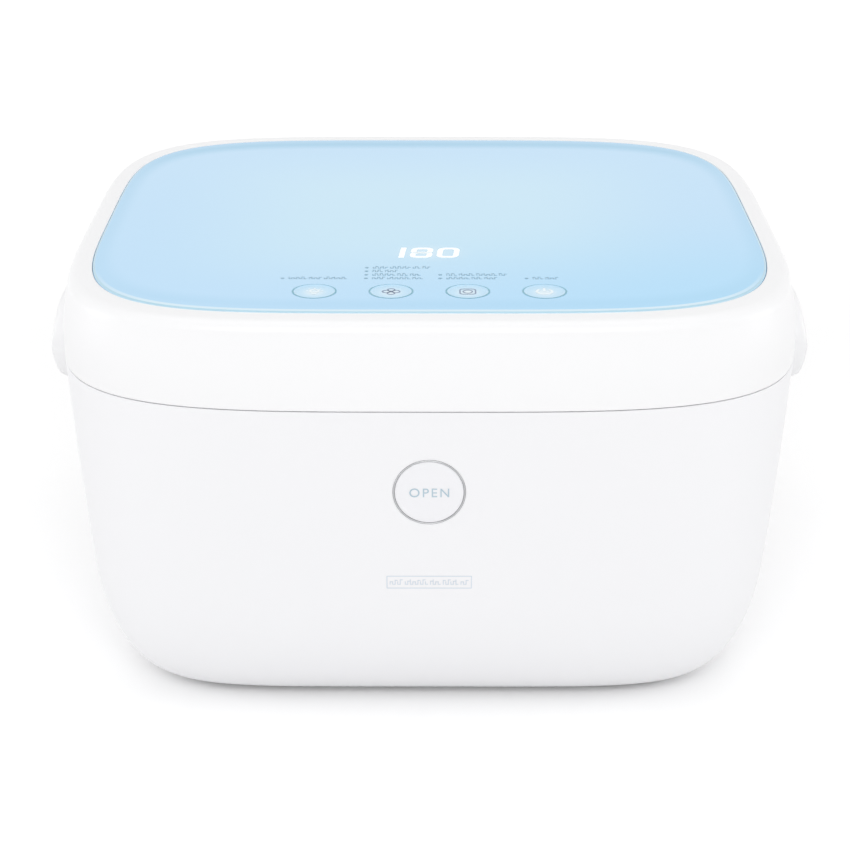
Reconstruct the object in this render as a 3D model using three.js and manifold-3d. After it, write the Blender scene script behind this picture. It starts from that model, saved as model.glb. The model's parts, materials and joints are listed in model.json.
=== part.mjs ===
import * as THREE from 'three';
import { mergeVertices } from 'three/addons/utils/BufferGeometryUtils.js';
import Module from 'manifold-3d';

const wasm = await Module();
wasm.setup();

// Millimetres. The front is toward -Y, the lid seam is the widest line of the box.

// Outer form
const halfWidth = 170;
const halfDepth = 154.8;
const bodyHeight = 151.6;
const footHeight = 3;
const wall = 3;
const seatGap = 0.3;
const seamGap = 0.8;
const seamSquareness = 3.89;
const bottomSquareness = 6;
const draftShare = 0.1;
const sideBowRadius = 3845;
const bottomRoundHeight = 54.5;
const bottomRoundReach = 24.7;
const bodyDepthShares = [0, 0.2, 0.42, 0.62, 0.72, 0.8, 0.87, 0.925, 0.965, 0.99, 1];

// Lid
const rimSetInSide = 4.6;
const rimSetInEnd = 3.4;
const panelSquareness = 4.55;
const panelHeight = 44.6;
const panelTilt = 2.1;
const panelThickness = 4;
const panelProud = 0.4;
const panelEdgeRound = 1;
const rimWidthSide = 10.7;
const rimWidthEnd = 12.7;
const rimRound = 5.5;
const ledgeWidth = 6;
const ledgeThickness = 2.5;
const lidSideShares = [0, 0.25, 0.5, 0.75, 1];
const lidSideBulge = 1.2;
const rimRoundShares = [0.25, 0.5, 0.75, 1];

// Touch keys and display in the glass panel
const keyRadius = 9.75;
const keyDepth = 0.5;
const keySlope = 1.2;
const keyRowInset = 27;
const keyPitch = 33.5;
const keyShares = [-1.5, -0.5, 0.5, 1.5];
const touchBoardWidth = 132;
const touchBoardDepth = 90;
const touchBoardLead = 29.7;
const boardThickness = 1.6;
const touchPostRadius = 4;
const displayWidth = 40;
const displayDepth = 28;
const displayHeight = 5;
const displayLead = 53.3;
const bracketRailWidth = 6;
const bracketHeight = 3;
const bracketClearance = 12;

// Chamber
const chamberMarginSide = 32;
const chamberMarginFront = 41.8;
const chamberMarginBack = 47.8;
const chamberSquareness = 5;
const chamberFloor = 50;
const chamberRound = 16;
const chamberSetIn = 3;
const linerWall = 1;
const flangeWidth = 6;
const flangeDrop = 0.7;
const deckThickness = 3;
const deckSkirt = 4.5;
const roundShares = [0, 0.35, 0.7, 1];
const rackMargin = 16;
const rackWire = 1.5;
const rackCrossWire = 1.2;
const rackHeight = 16;
const rackWireCount = 13;
const rackLegShareX = 0.72;
const rackLegShareY = 0.8;

// Lid underside
const underplateThickness = 2.5;
const underplateLift = 1;
const reflectorMargin = 12;
const reflectorHeight = 12;
const gasketWidth = 4;
const magnetRadius = 4;
const magnetHeight = 3;
const magnetSide = 62;
const magnetInset = 20.8;
const sensorLength = 14;
const sensorWidth = 6;
const sensorHeight = 4;

// Ultraviolet lamps
const windowWidth = 130;
const windowDepth = 44;
const windowThickness = 2;
const windowLap = 4;
const ledSize = 5;
const ledHeight = 1.5;
const ledColumnShares = [-0.375, -0.125, 0.125, 0.375];
const ledRowShares = [-0.22, 0.22];

// Bottom cover, feet and screws
const coverThickness = 2.5;
const footRadius = 9;
const footStubRadius = 3;
const footEdgeRound = 0.9;
const footInsetSide = 35;
const footInsetEnd = 30;
const bossRadius = 9;
const bossHeight = 26;
const bossShare = 0.85;
const screwRadius = 2;
const screwHeadRadius = 3.6;
const screwHeadHeight = 2;
const screwReach = 14;
const screwFacets = 12;
const lidBossRadius = 9;
const lidBossShare = 0.84;
const coverSlotLength = 50;
const coverSlotWidth = 3;
const coverSlotPitch = 9;
const coverSlotCount = 7;

// Main board and power inlet
const mainBoardWidth = 130;
const mainBoardDepth = 84;
const mainBoardLift = 8;
const standoffRadius = 3;
const standoffInset = 6;
const partShares = [
  [-0.3, -0.2, 0.22, 0.3, 1],
  [0.05, -0.22, 0.16, 0.26, 0.7],
  [0.32, -0.18, 0.18, 0.34, 0.85],
  [-0.28, 0.26, 0.3, 0.22, 0.45],
  [0.2, 0.24, 0.36, 0.26, 0.35],
];
const tallestPart = 18;
const jackRadius = 6;
const jackBoreRadius = 3.4;
const jackPinRadius = 1;
const jackLength = 16;
const jackLip = 1;
const jackInset = 80;
const jackHeight = 60;
const jackNutRadius = 9;
const jackNutThickness = 3;

// Blower, duct and heater
const blowerSide = 52;
const blowerDrop = 70.6;
const blowerClearance = 3.6;
const scrollRadius = 34;
const scrollWall = 2;
const outletReach = 44;
const outletWidth = 30;
const inletRadius = 18;
const impellerRadius = 27;
const impellerClearance = 2.1;
const impellerPlate = 1.6;
const bladeCount = 18;
const bladeThickness = 1;
const bladeDepth = 7;
const bladeAngle = 30;
const hubRadius = 11;
const hubWall = 1.4;
const motorRadius = 9;
const motorSetback = 2;
const motorShaftRadius = 3;
const blowerSetback = 3;
const mountPostRadius = 4;
const mountPostSide = 30;
const ductHeight = 17;
const heaterInset = 3;
const heaterFinCount = 6;
const heaterFinThickness = 1;
const heaterRail = 2;
const inletSlotCount = 5;
const inletSlotWidth = 3;
const inletSlotPitch = 6;
const ventSlotCount = 7;
const ventSlotWidth = 2.5;
const ventSlotHeight = 30;
const ventSlotPitch = 6;

// Opening button
const buttonDrop = 38.2;
const ringRadius = 15.85;
const ringWidth = 1.1;
const ringProud = 0.5;
const ringRound = 0.37;
const buttonDome = 0.4;
const buttonDomeShares = [[0.5, 1], [0.9, 0.5]];
const buttonThickness = 3;
const buttonTravel = 2.5;
const stemRadius = 4.5;
const sleeveDepth = 13;
const collarRadius = 19;
const collarThickness = 1.5;
const collarDepth = 5;
const stemReach = 19;
const springRadius = 8;
const springWire = 0.6;
const springTurns = 4;

// Latch
const latchHalfWidth = 13;
const latchPlate = 2.2;
const latchBar = 3;
const latchFoot = 12;
const latchRelief = 0.4;
const catchHalfWidth = 8;
const catchThickness = 2.5;
const catchLip = 1.8;
const catchLipHeight = 3;
const slotMargin = 1.5;
const guideWall = 3.5;
const guideLength = 15;

// Hinge
const hingeRadius = 6;
const hingePinRadius = 2.5;
const lugInner = 40;
const lugWidth = 12;
const knuckleInner = 9;
const hingeSpringWire = 0.8;
const hingeSpringTurns = 7;
const hingeRoot = 9;

// Carrying handle
const handleGap = 0.4;
const handleEndThickness = 13.5;
const handleEndHeight = 44;
const handleDrop = 15;
const gripThickness = 12;
const gripHeight = 22;
const gripSquareness = 4.6;
const gripSetback = 22.2;
const handleTopSquareness = 2.6;
const handleBottomSquareness = 5;
const handleStations = 22;
const handleNoseShares = [-0.985, -0.92, -0.75, -0.45];
const handleFacets = 14;
const studRadius = 5;
const studFlangeRadius = 8;
const studFlangeThickness = 3;
const studReach = 9;

// Fineness
const outlineFacets = 56;
const rackFacets = 40;
const roundFacets = 28;
const smallFacets = 16;
const wireFacets = 6;
const coilSteps = 10;
const cornerCrowding = 0.42;
const weldDistance = 1e-5;
const overshoot = 2;
const wallCutDepth = 26;

// Derived places
const fullTurn = Math.PI * 2;
const degree = Math.PI / 180;
const seam = footHeight + bodyHeight;
const lidBottom = seam + seamGap;
const tiltSlope = Math.tan(panelTilt * degree);
const rimHalfWidth = halfWidth - rimSetInSide;
const rimHalfDepth = halfDepth - rimSetInEnd;
const panelHalfWidth = rimHalfWidth - rimWidthSide;
const panelHalfDepth = rimHalfDepth - rimWidthEnd;
const rimTop = panelHeight - panelProud;
const jackSide = halfWidth - jackInset;
const keyRow = panelHalfDepth - keyRowInset;
const touchBoardCentre = keyRow - touchBoardLead;
const displayRow = keyRow - displayLead;
const chamberHalfWidth = halfWidth - chamberMarginSide;
const chamberHalfDepth = halfDepth - (chamberMarginFront + chamberMarginBack) / 2;
const chamberOffset = (chamberMarginBack - chamberMarginFront) / 2;
const rackHalfWidth = chamberHalfWidth - rackMargin;
const rackHalfDepth = chamberHalfDepth - rackMargin;
const reflectorHalfWidth = chamberHalfWidth - reflectorMargin;
const reflectorHalfDepth = chamberHalfDepth - reflectorMargin;
const magnetRow = halfDepth - magnetInset;
const lidBossX = panelHalfWidth * lidBossShare;
const lidBossY = panelHalfDepth * lidBossShare;
const flangeTop = seam - flangeDrop;
const deckTop = flangeTop - linerWall - seatGap;
const deckBottom = deckTop - deckThickness;
const underplateBottom = lidBottom + underplateLift;
const underplateTop = underplateBottom + underplateThickness;
const reflectorFlange = underplateTop + seatGap;
const reflectorRoof = reflectorFlange + reflectorHeight;
const handleHeight = seam - handleDrop;
const handleHalfWidth = halfWidth + handleGap + handleEndThickness / 2;
const gripDepth = halfDepth + gripSetback;
const hingeDepth = halfDepth + hingeRadius + seatGap + seatGap;
const latchBarTop = deckBottom - latchBar;
const centreShift = (gripDepth + gripThickness / 2 - halfDepth) / 2;
const blowerHeight = seam - blowerDrop;

// How far the outer body stands in from the seam outline at a depth below the seam.
function bodyInset(depth) {
  const roundShare = Math.max(0, (depth - bodyHeight + bottomRoundHeight) / bottomRoundHeight);
  const round = bottomRoundReach * (1 - Math.sqrt(Math.max(0, 1 - roundShare ** 2)));
  return draftShare * depth + depth ** 2 / (sideBowRadius * 2) + round;
}

// The outline grows squarer toward the bottom.
function bodySquareness(depth) {
  return seamSquareness + (bottomSquareness - seamSquareness) * (depth / bodyHeight);
}

// Distance of the outer body's surface from the middle at a side place and a height.
function bodyDepthAt(side, height) {
  const depth = seam - height;
  const inset = bodyInset(depth);
  const squareness = bodySquareness(depth);
  const sideShare = Math.abs(side) / (halfWidth - inset);
  return (halfDepth - inset) * (1 - sideShare ** squareness) ** (1 / squareness);
}

// Points of a rounded rectangle, crowded toward its corners.
function outline(wide, deep, squareness, count) {
  return Array.from({ length: count }, (_, i) => {
    const even = (i / count) * fullTurn;
    const angle = even + (cornerCrowding * Math.sin(even * 4)) / 4;
    const x = Math.cos(angle);
    const y = Math.sin(angle);
    const sum = Math.abs(x / wide) ** squareness + Math.abs(y / deep) ** squareness;
    const reach = sum ** (-1 / squareness);
    return [reach * x, reach * y];
  });
}

// A level or tilted ring of the given outline.
function ring(wide, deep, squareness, z, count = outlineFacets, slope = 0, offset = 0) {
  return outline(wide, deep, squareness, count).map(([x, y]) => [x, y - offset, z + y * slope]);
}

function circle(radius, z, count) {
  return Array.from({ length: count }, (_, i) => {
    const angle = (i / count) * fullTurn;
    return [radius * Math.cos(angle), radius * Math.sin(angle), z];
  });
}

// A skin over rings of points: joined end to end, or closed with a fan at both ends.
function loft(rings, joined) {
  const count = rings[0].length;
  const positions = rings.flat(2);
  const index = [];
  const spans = joined ? rings.length : rings.length - 1;
  for (let r = 0; r < spans; r++) {
    const here = r * count;
    const next = ((r + 1) % rings.length) * count;
    for (let i = 0; i < count; i++) {
      const j = (i + 1) % count;
      index.push(here + i, here + j, next + j, here + i, next + j, next + i);
    }
  }
  if (!joined) {
    addFan(positions, index, rings[0], 0, true);
    addFan(positions, index, rings[rings.length - 1], (rings.length - 1) * count, false);
  }
  const geometry = new THREE.BufferGeometry();
  geometry.setAttribute('position', new THREE.Float32BufferAttribute(positions, 3));
  geometry.setIndex(index);
  return geometry;
}

function addFan(positions, index, points, start, reversed) {
  const centre = positions.length / 3;
  const middle = new THREE.Vector3();
  points.forEach((point) => middle.add(new THREE.Vector3(...point)));
  positions.push(...middle.divideScalar(points.length).toArray());
  for (let i = 0; i < points.length; i++) {
    const here = start + i;
    const next = start + ((i + 1) % points.length);
    index.push(centre, reversed ? next : here, reversed ? here : next);
  }
}

// A turned solid about Z from radius and height pairs.
function turned(profile, joined, facets = roundFacets) {
  return loft(profile.map(([radius, z]) => circle(radius, z, facets)), joined);
}

function block(wide, deep, high, x, y, z) {
  return new THREE.BoxGeometry(wide, deep, high).translate(x, y, z);
}

// An upright, side-to-side or front-to-back rod given by its middle.
function rod(radius, length, direction, x, y, z, facets = smallFacets) {
  const geometry = new THREE.CylinderGeometry(radius, radius, length, facets);
  if (direction === 'x') geometry.rotateZ(fullTurn / 4);
  if (direction === 'z') geometry.rotateX(fullTurn / 4);
  return geometry.translate(x, y, z);
}

function toSolid(geometry) {
  const plain = geometry.clone();
  plain.deleteAttribute('normal');
  plain.deleteAttribute('uv');
  const welded = mergeVertices(plain, weldDistance);
  return new wasm.Manifold(new wasm.Mesh({
    numProp: 3,
    vertProperties: new Float32Array(welded.attributes.position.array),
    triVerts: new Uint32Array(welded.index.array),
  }));
}

function toGeometry(solid) {
  const mesh = solid.getMesh();
  const geometry = new THREE.BufferGeometry();
  geometry.setAttribute('position', new THREE.Float32BufferAttribute(mesh.vertProperties, 3));
  geometry.setIndex(Array.from(mesh.triVerts));
  return geometry;
}

function join(...geometries) {
  return toGeometry(wasm.Manifold.union(geometries.map(toSolid)));
}

function cut(geometry, ...tools) {
  const tool = wasm.Manifold.union(tools.map(toSolid));
  return toGeometry(wasm.Manifold.difference(toSolid(geometry), tool));
}

// The middles of evenly spaced repeats about zero.
function spread(count, pitch) {
  return Array.from({ length: count }, (_, i) => (i - (count - 1) / 2) * pitch);
}

const sides = [-1, 1];
const corners = sides.flatMap((x) => sides.map((y) => [x, y]));

// Places on the shell
const buttonHeight = seam - buttonDrop;
const buttonFace = bodyDepthAt(0, buttonHeight);
const buttonLean = Math.atan(draftShare + buttonDrop / sideBowRadius);
const latchFront = buttonFace - stemReach * Math.cos(buttonLean)
  - stemRadius * Math.sin(buttonLean) - seatGap;
const catchFront = latchFront - latchPlate - buttonTravel - slotMargin;
const catchTip = catchFront - catchThickness - catchLip;
const latchBarBack = catchTip - latchRelief - latchBar;
const catchBottom = latchBarTop - latchBar - catchLipHeight - seatGap;
const bottomHalfWidth = halfWidth - bodyInset(bodyHeight);
const bottomHalfDepth = halfDepth - bodyInset(bodyHeight);
const coverTop = footHeight + coverThickness;
const bossX = bottomHalfWidth * bossShare;
const bossY = bottomHalfDepth * bossShare;
const footPlaceX = bottomHalfWidth - footInsetSide;
const footPlaceY = bottomHalfDepth - footInsetEnd;
const blowerBack = bodyDepthAt(blowerSide + scrollRadius, blowerHeight - scrollRadius) - wall
  - blowerSetback;
const chamberBack = chamberHalfDepth + linerWall - chamberOffset;
const blowerFront = chamberBack + blowerClearance;
const scrollThickness = blowerBack - blowerFront;
const impellerWidth = scrollThickness - scrollWall - scrollWall - seatGap - impellerPlate
  - bladeThickness - impellerClearance;
const motorLength = impellerWidth - motorSetback;
const ductBottom = blowerHeight + outletReach + seatGap;
const ductTop = ductBottom + ductHeight;
const ductSide = blowerSide + scrollRadius - outletWidth / 2;
const floorUnder = chamberFloor - linerWall;

// Turns a piece built along Z so that Z runs inward at the button.
function atButton(geometry) {
  geometry.rotateX(buttonLean - fullTurn / 4);
  return geometry.translate(0, -buttonFace, buttonHeight);
}

// Lays a piece built against z = 0 under the tilted top of the glass panel.
function underPanel(geometry) {
  return geometry.rotateX(panelTilt * degree).translate(0, 0, seam + panelHeight);
}

// The shell's outer and inner lines as inset and depth pairs, top to bottom.
function bodyLines() {
  const outer = bodyDepthShares.map((share) => {
    const depth = share * bodyHeight;
    return [bodyInset(depth), depth];
  });
  const inner = outer.map(([inset, depth], i) => {
    const before = outer[Math.max(0, i - 1)];
    const after = outer[Math.min(outer.length - 1, i + 1)];
    const run = Math.hypot(after[0] - before[0], after[1] - before[1]);
    const across = i === 0 ? 1 : (after[1] - before[1]) / run;
    const along = i === 0 ? 0 : (after[0] - before[0]) / run;
    return [inset + wall * across, depth - wall * along];
  });
  inner[inner.length - 1] = [outer[outer.length - 1][0], bodyHeight - wall];
  return [outer, inner.filter((_, i) => i % 2 === 0)];
}

function outerBody() {
  const [outer, inner] = bodyLines();
  const section = [...outer].reverse().concat(inner);
  const rings = section.map(([inset, depth]) =>
    ring(halfWidth - inset, halfDepth - inset, bodySquareness(depth), seam - depth));
  const posts = corners.map(([x, y]) =>
    rod(bossRadius, bossHeight, 'z', x * bossX, y * bossY, coverTop + seatGap + bossHeight / 2));
  const mounts = sides.map((side) => {
    const x = blowerSide + side * mountPostSide;
    const z = blowerHeight - side * mountPostSide;
    const end = bodyDepthAt(x, z) - wall / 2;
    const start = blowerBack + seatGap;
    return rod(mountPostRadius, end - start, 'y', x, (start + end) / 2, z);
  });
  const lugs = sides.map((side) => hingeLug(side * (lugInner + lugWidth / 2), lugWidth, -1));
  const shell = join(loft(rings, true), ...posts, ...mounts, ...lugs);
  const buttonHole = atButton(rod(ringRadius + seatGap, wallCutDepth, 'z', 0, 0, 0, roundFacets));
  const studHole = rod(studRadius + seatGap, (halfWidth + overshoot) * 2, 'x', 0, 0, handleHeight);
  const screwHoles = corners.map(([x, y]) =>
    rod(screwRadius + seatGap, screwReach + overshoot, 'z', x * bossX, y * bossY,
      coverTop + screwReach / 2));
  const vents = spread(ventSlotCount, ventSlotPitch).map((x) =>
    block(ventSlotWidth, wallCutDepth, ventSlotHeight, blowerSide + x, halfDepth, blowerHeight));
  const jackHole = rod(jackRadius + seatGap, wallCutDepth, 'y', -jackSide,
    bodyDepthAt(jackSide, jackHeight), jackHeight);
  return cut(shell, buttonHole, studHole, jackHole, hingeBore(), ...screwHoles, ...vents);
}

// A hinge eye on the axis with a root into the wall below (-1) or above (1) it.
function hingeLug(x, width, rise) {
  const eye = rod(hingeRadius, width, 'x', x, hingeDepth, seam, roundFacets);
  const rootDepth = hingeDepth - halfDepth + wall / 2;
  const bottom = rise < 0 ? seam - hingeRoot : lidBottom;
  const top = rise < 0 ? seam : lidBottom + hingeRoot;
  const root = block(width, rootDepth, top - bottom, x, hingeDepth - rootDepth / 2,
    (top + bottom) / 2);
  return join(eye, root);
}

function hingeBore() {
  return rod(hingePinRadius + seatGap, (lugInner + lugWidth + overshoot) * 2, 'x', 0, hingeDepth,
    seam);
}

function lidShell() {
  const sideHeight = rimTop - rimRound;
  const side = lidSideShares.map((share) => {
    const bulge = lidSideBulge * Math.sin(share * Math.PI);
    return {
      wide: halfWidth + (rimHalfWidth - halfWidth) * share + bulge,
      deep: halfDepth + (rimHalfDepth - halfDepth) * share + bulge,
      squareness: seamSquareness + (panelSquareness - seamSquareness) * share,
      z: seamGap + (sideHeight - seamGap) * share,
      slope: tiltSlope * share,
    };
  });
  const round = rimRoundShares.map((share) => {
    const turn = (share * fullTurn) / 4;
    return {
      wide: rimHalfWidth - rimRound * (1 - Math.cos(turn)),
      deep: rimHalfDepth - rimRound * (1 - Math.cos(turn)),
      squareness: panelSquareness,
      z: sideHeight + rimRound * Math.sin(turn),
      slope: tiltSlope,
    };
  });
  const ledgeTop = panelHeight - panelThickness - seatGap;
  const within = [
    [panelHalfWidth + seatGap, panelHalfDepth + seatGap, rimTop],
    [panelHalfWidth + seatGap, panelHalfDepth + seatGap, ledgeTop],
    [panelHalfWidth - ledgeWidth, panelHalfDepth - ledgeWidth, ledgeTop],
    [panelHalfWidth - ledgeWidth, panelHalfDepth - ledgeWidth, ledgeTop - ledgeThickness],
    [rimHalfWidth - rimRound, rimHalfDepth - rimRound, ledgeTop - ledgeThickness],
  ].map(([wide, deep, z]) => ({ wide, deep, squareness: panelSquareness, z, slope: tiltSlope }));
  const underLedge = [...side].reverse().slice(2);
  const inner = underLedge.map((s) =>
    ({ ...s, wide: s.wide - wall, deep: s.deep - wall }));
  const rings = [...side, ...round, ...within, ...inner].map((s) =>
    ring(s.wide, s.deep, s.squareness, seam + s.z, outlineFacets, s.slope));
  const bossBottom = underplateTop + seatGap;
  const bosses = corners.map(([x, y]) => {
    const bossTop = seam + ledgeTop - ledgeThickness / 2 + y * lidBossY * tiltSlope;
    return rod(lidBossRadius, bossTop - bossBottom, 'z', x * lidBossX, y * lidBossY,
      (bossTop + bossBottom) / 2);
  });
  const eyes = sides.map((s) =>
    hingeLug((s * (lugInner + knuckleInner)) / 2, lugInner - knuckleInner - seatGap, 1));
  const screwHoles = corners.map(([x, y]) =>
    rod(screwRadius + seatGap, screwReach + overshoot, 'z', x * lidBossX, y * lidBossY,
      bossBottom + screwReach / 2));
  return cut(join(loft(rings, true), ...bosses, ...eyes), hingeBore(), ...screwHoles);
}

function glassPanel() {
  const rings = [
    [panelEdgeRound, -panelThickness],
    [0, panelEdgeRound - panelThickness],
    [0, -panelEdgeRound],
    [panelEdgeRound, 0],
  ].map(([inset, z]) => ring(panelHalfWidth - inset, panelHalfDepth - inset, panelSquareness, z));
  const plate = loft(rings, false);
  const dishes = keyShares.map((share) => turned([
    [keyRadius - keySlope, -keyDepth],
    [keyRadius, 0],
    [keyRadius, keyDepth],
  ], false, roundFacets).translate(share * keyPitch, -keyRow, 0));
  return underPanel(cut(plate, ...dishes));
}

function topDeck() {
  const skirtBottom = deckTop - deckSkirt;
  const edge = (z) => wall + seatGap + bodyInset(seam - z);
  const holeWide = chamberHalfWidth + linerWall + seatGap;
  const holeDeep = chamberHalfDepth + linerWall + seatGap;
  const outerRing = (inset, z) =>
    ring(halfWidth - inset, halfDepth - inset, bodySquareness(seam - z), z, outlineFacets);
  const rings = [
    outerRing(edge(skirtBottom), skirtBottom),
    outerRing(edge(deckTop), deckTop),
    ring(holeWide, holeDeep, chamberSquareness, deckTop, outlineFacets, 0, chamberOffset),
    ring(holeWide, holeDeep, chamberSquareness, deckBottom, outlineFacets, 0, chamberOffset),
    outerRing(edge(skirtBottom) + wall, deckBottom),
    outerRing(edge(skirtBottom) + wall, skirtBottom),
  ];
  const slotFront = catchFront + slotMargin;
  const slotBack = catchTip - slotMargin;
  const slotWidth = catchHalfWidth + slotMargin;
  const slot = block(slotWidth * 2, slotFront - slotBack, (deckThickness + overshoot) * 2, 0,
    -(slotFront + slotBack) / 2, deckBottom);
  return cut(loft(rings, true), slot);
}

// The bright cup of the chamber with a flange that lies on the deck.
function innerLiner() {
  const straight = chamberFloor + chamberRound;
  const shape = (offset, z) => {
    const draft = (chamberSetIn * (flangeTop - z)) / (flangeTop - chamberFloor);
    return ring(chamberHalfWidth + offset - draft, chamberHalfDepth + offset - draft,
      chamberSquareness, z, outlineFacets, 0, chamberOffset);
  };
  const bend = (grow) => roundShares.map((share) => {
    const turn = (share * fullTurn) / 4;
    const radius = chamberRound + grow;
    return shape(grow - radius * (1 - Math.sin(turn)), straight - radius * Math.cos(turn));
  });
  const rings = [
    ...bend(linerWall),
    shape(linerWall, flangeTop - linerWall),
    shape(linerWall + flangeWidth, flangeTop - linerWall),
    shape(linerWall + flangeWidth, flangeTop),
    shape(0, flangeTop),
    ...bend(0).reverse(),
  ];
  const lampHole = block(windowWidth - windowLap * 2, windowDepth - windowLap * 2,
    chamberRound, 0, -chamberOffset, chamberFloor);
  const slotMiddle = (ductBottom + ductTop) / 2;
  const slotHeight = ductHeight - heaterInset * 2;
  const slots = spread(inletSlotCount, inletSlotPitch).map((x) =>
    block(inletSlotWidth, chamberRound, slotHeight, ductSide + x, chamberBack, slotMiddle));
  return cut(loft(rings, false), lampHole, ...slots);
}

// Welded wires: a rim, cross wires and four legs.
function wireRack() {
  const z = chamberFloor + rackHeight;
  const rimRings = outline(rackWire, rackWire, 2, wireFacets).map(([out, up]) =>
    ring(rackHalfWidth + out, rackHalfDepth + out, chamberSquareness, z + up, rackFacets, 0,
      chamberOffset));
  const reachAt = (share) =>
    rackHalfDepth * (1 - share ** chamberSquareness) ** (1 / chamberSquareness);
  const wires = spread(rackWireCount, (rackHalfWidth * 2) / (rackWireCount + 1)).map((x) =>
    rod(rackCrossWire, reachAt(Math.abs(x) / rackHalfWidth) * 2, 'y', x, -chamberOffset, z,
      wireFacets));
  const legX = rackHalfWidth * rackLegShareX;
  const legY = reachAt(rackLegShareX) * rackLegShareY;
  const legBottom = chamberFloor + seatGap;
  const legs = corners.map(([x, y]) =>
    rod(rackWire, z - legBottom, 'z', x * legX, y * legY - chamberOffset, (z + legBottom) / 2,
      wireFacets));
  const ties = sides.map((y) =>
    rod(rackWire, legX * 2, 'x', 0, y * legY - chamberOffset, z, wireFacets));
  return join(loft(rimRings, true), ...wires, ...legs, ...ties);
}

function bottomCover() {
  const rings = [footHeight, coverTop].map((z) =>
    ring(bottomHalfWidth - seatGap, bottomHalfDepth - seatGap, bottomSquareness, z));
  const postHeight = mainBoardLift - seatGap;
  const posts = corners.map(([x, y]) =>
    rod(standoffRadius, postHeight, 'z', x * (mainBoardWidth / 2 - standoffInset),
      y * (mainBoardDepth / 2 - standoffInset), coverTop + postHeight / 2));
  const middle = footHeight + coverThickness / 2;
  const through = coverThickness + overshoot * 2;
  const stubHoles = corners.map(([x, y]) =>
    rod(footStubRadius + seatGap, through, 'z', x * footPlaceX, y * footPlaceY, middle));
  const screwHoles = corners.map(([x, y]) =>
    rod(screwRadius + seatGap, through, 'z', x * bossX, y * bossY, middle));
  const slots = spread(coverSlotCount, coverSlotPitch).flatMap((y) => sides.map((side) =>
    block(coverSlotLength / 2, coverSlotWidth, through,
      side * (mainBoardWidth / 2 - coverSlotLength / 2), y, middle)));
  const plate = join(loft(rings, false), ...posts);
  return cut(plate, ...stubHoles, ...screwHoles, ...slots);
}

function foot(x, y) {
  const top = footHeight - seatGap;
  return turned([
    [footRadius - footEdgeRound, 0],
    [footRadius, footEdgeRound],
    [footRadius, top],
    [footStubRadius, top],
    [footStubRadius, coverTop],
  ], false, smallFacets).translate(x * footPlaceX, y * footPlaceY, 0);
}

// A pan-head screw with its head at the bottom, its thread up.
function screw(x, y, seat) {
  return turned([
    [screwHeadRadius, seat - seatGap - screwHeadHeight],
    [screwHeadRadius, seat - seatGap],
    [screwRadius, seat - seatGap],
    [screwRadius, seat + screwReach - seatGap],
  ], false, screwFacets).translate(x, y, 0);
}

// A lamp board: a plate with a grid of emitters on the side named by the sign.
function lampBoard(z, facing) {
  const plateMiddle = z - (facing * boardThickness) / 2;
  const lamps = ledColumnShares.flatMap((column) => ledRowShares.map((row) =>
    block(ledSize, ledSize, ledHeight + boardThickness, column * windowWidth,
      row * windowDepth - chamberOffset, z + (facing * (ledHeight - boardThickness)) / 2)));
  const plate = block(windowWidth, windowDepth, boardThickness, 0, -chamberOffset, plateMiddle);
  return join(plate, ...lamps);
}

function lampWindow(bottom) {
  return block(windowWidth, windowDepth, windowThickness, 0, -chamberOffset,
    bottom + windowThickness / 2);
}

function mainBoard() {
  const bottom = coverTop + mainBoardLift;
  const plate = block(mainBoardWidth, mainBoardDepth, boardThickness, 0, 0,
    bottom + boardThickness / 2);
  const parts = partShares.map(([x, y, wide, deep, high]) =>
    block(wide * mainBoardWidth, deep * mainBoardDepth, high * tallestPart + boardThickness,
      x * mainBoardWidth, y * mainBoardDepth,
      bottom + (high * tallestPart + boardThickness) / 2));
  return join(plate, ...parts);
}

// The power inlet: a barrel through the back wall with a centre pin and an inner nut.
function powerJack() {
  const face = bodyDepthAt(jackSide, jackHeight) + jackLip;
  const nutFront = face - jackLip - wall - jackNutThickness - jackNutThickness;
  const barrel = turned([
    [jackRadius, face - jackLength],
    [jackRadius, nutFront],
    [jackNutRadius, nutFront],
    [jackNutRadius, nutFront + jackNutThickness],
    [jackRadius, nutFront + jackNutThickness],
    [jackRadius, face],
    [jackBoreRadius, face],
    [jackBoreRadius, face - jackLength + wall],
    [jackPinRadius, face - jackLength + wall],
    [jackPinRadius, face - wall],
  ], false, smallFacets);
  return barrel.rotateX(-fullTurn / 4).translate(-jackSide, 0, jackHeight);
}

// A scroll with its outlet upward, in the XY plane about the fan's axis.
function scrollShape(inset, reach) {
  const radius = scrollRadius - inset;
  const shape = new THREE.Shape();
  shape.moveTo(radius, 0);
  shape.lineTo(radius, reach);
  shape.lineTo(scrollRadius - outletWidth + inset, reach);
  shape.lineTo(scrollRadius - outletWidth + inset, Math.sqrt(radius ** 2
    - (scrollRadius - outletWidth + inset) ** 2));
  const start = Math.acos((scrollRadius - outletWidth + inset) / radius);
  shape.absarc(0, 0, radius, start, fullTurn, false);
  return shape;
}

function extrudeAtBlower(shape, thickness, front) {
  const geometry = new THREE.ExtrudeGeometry(shape, {
    depth: thickness,
    bevelEnabled: false,
    curveSegments: roundFacets,
  });
  geometry.rotateX(fullTurn / 4);
  return geometry.translate(blowerSide, front + thickness, blowerHeight);
}

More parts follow.
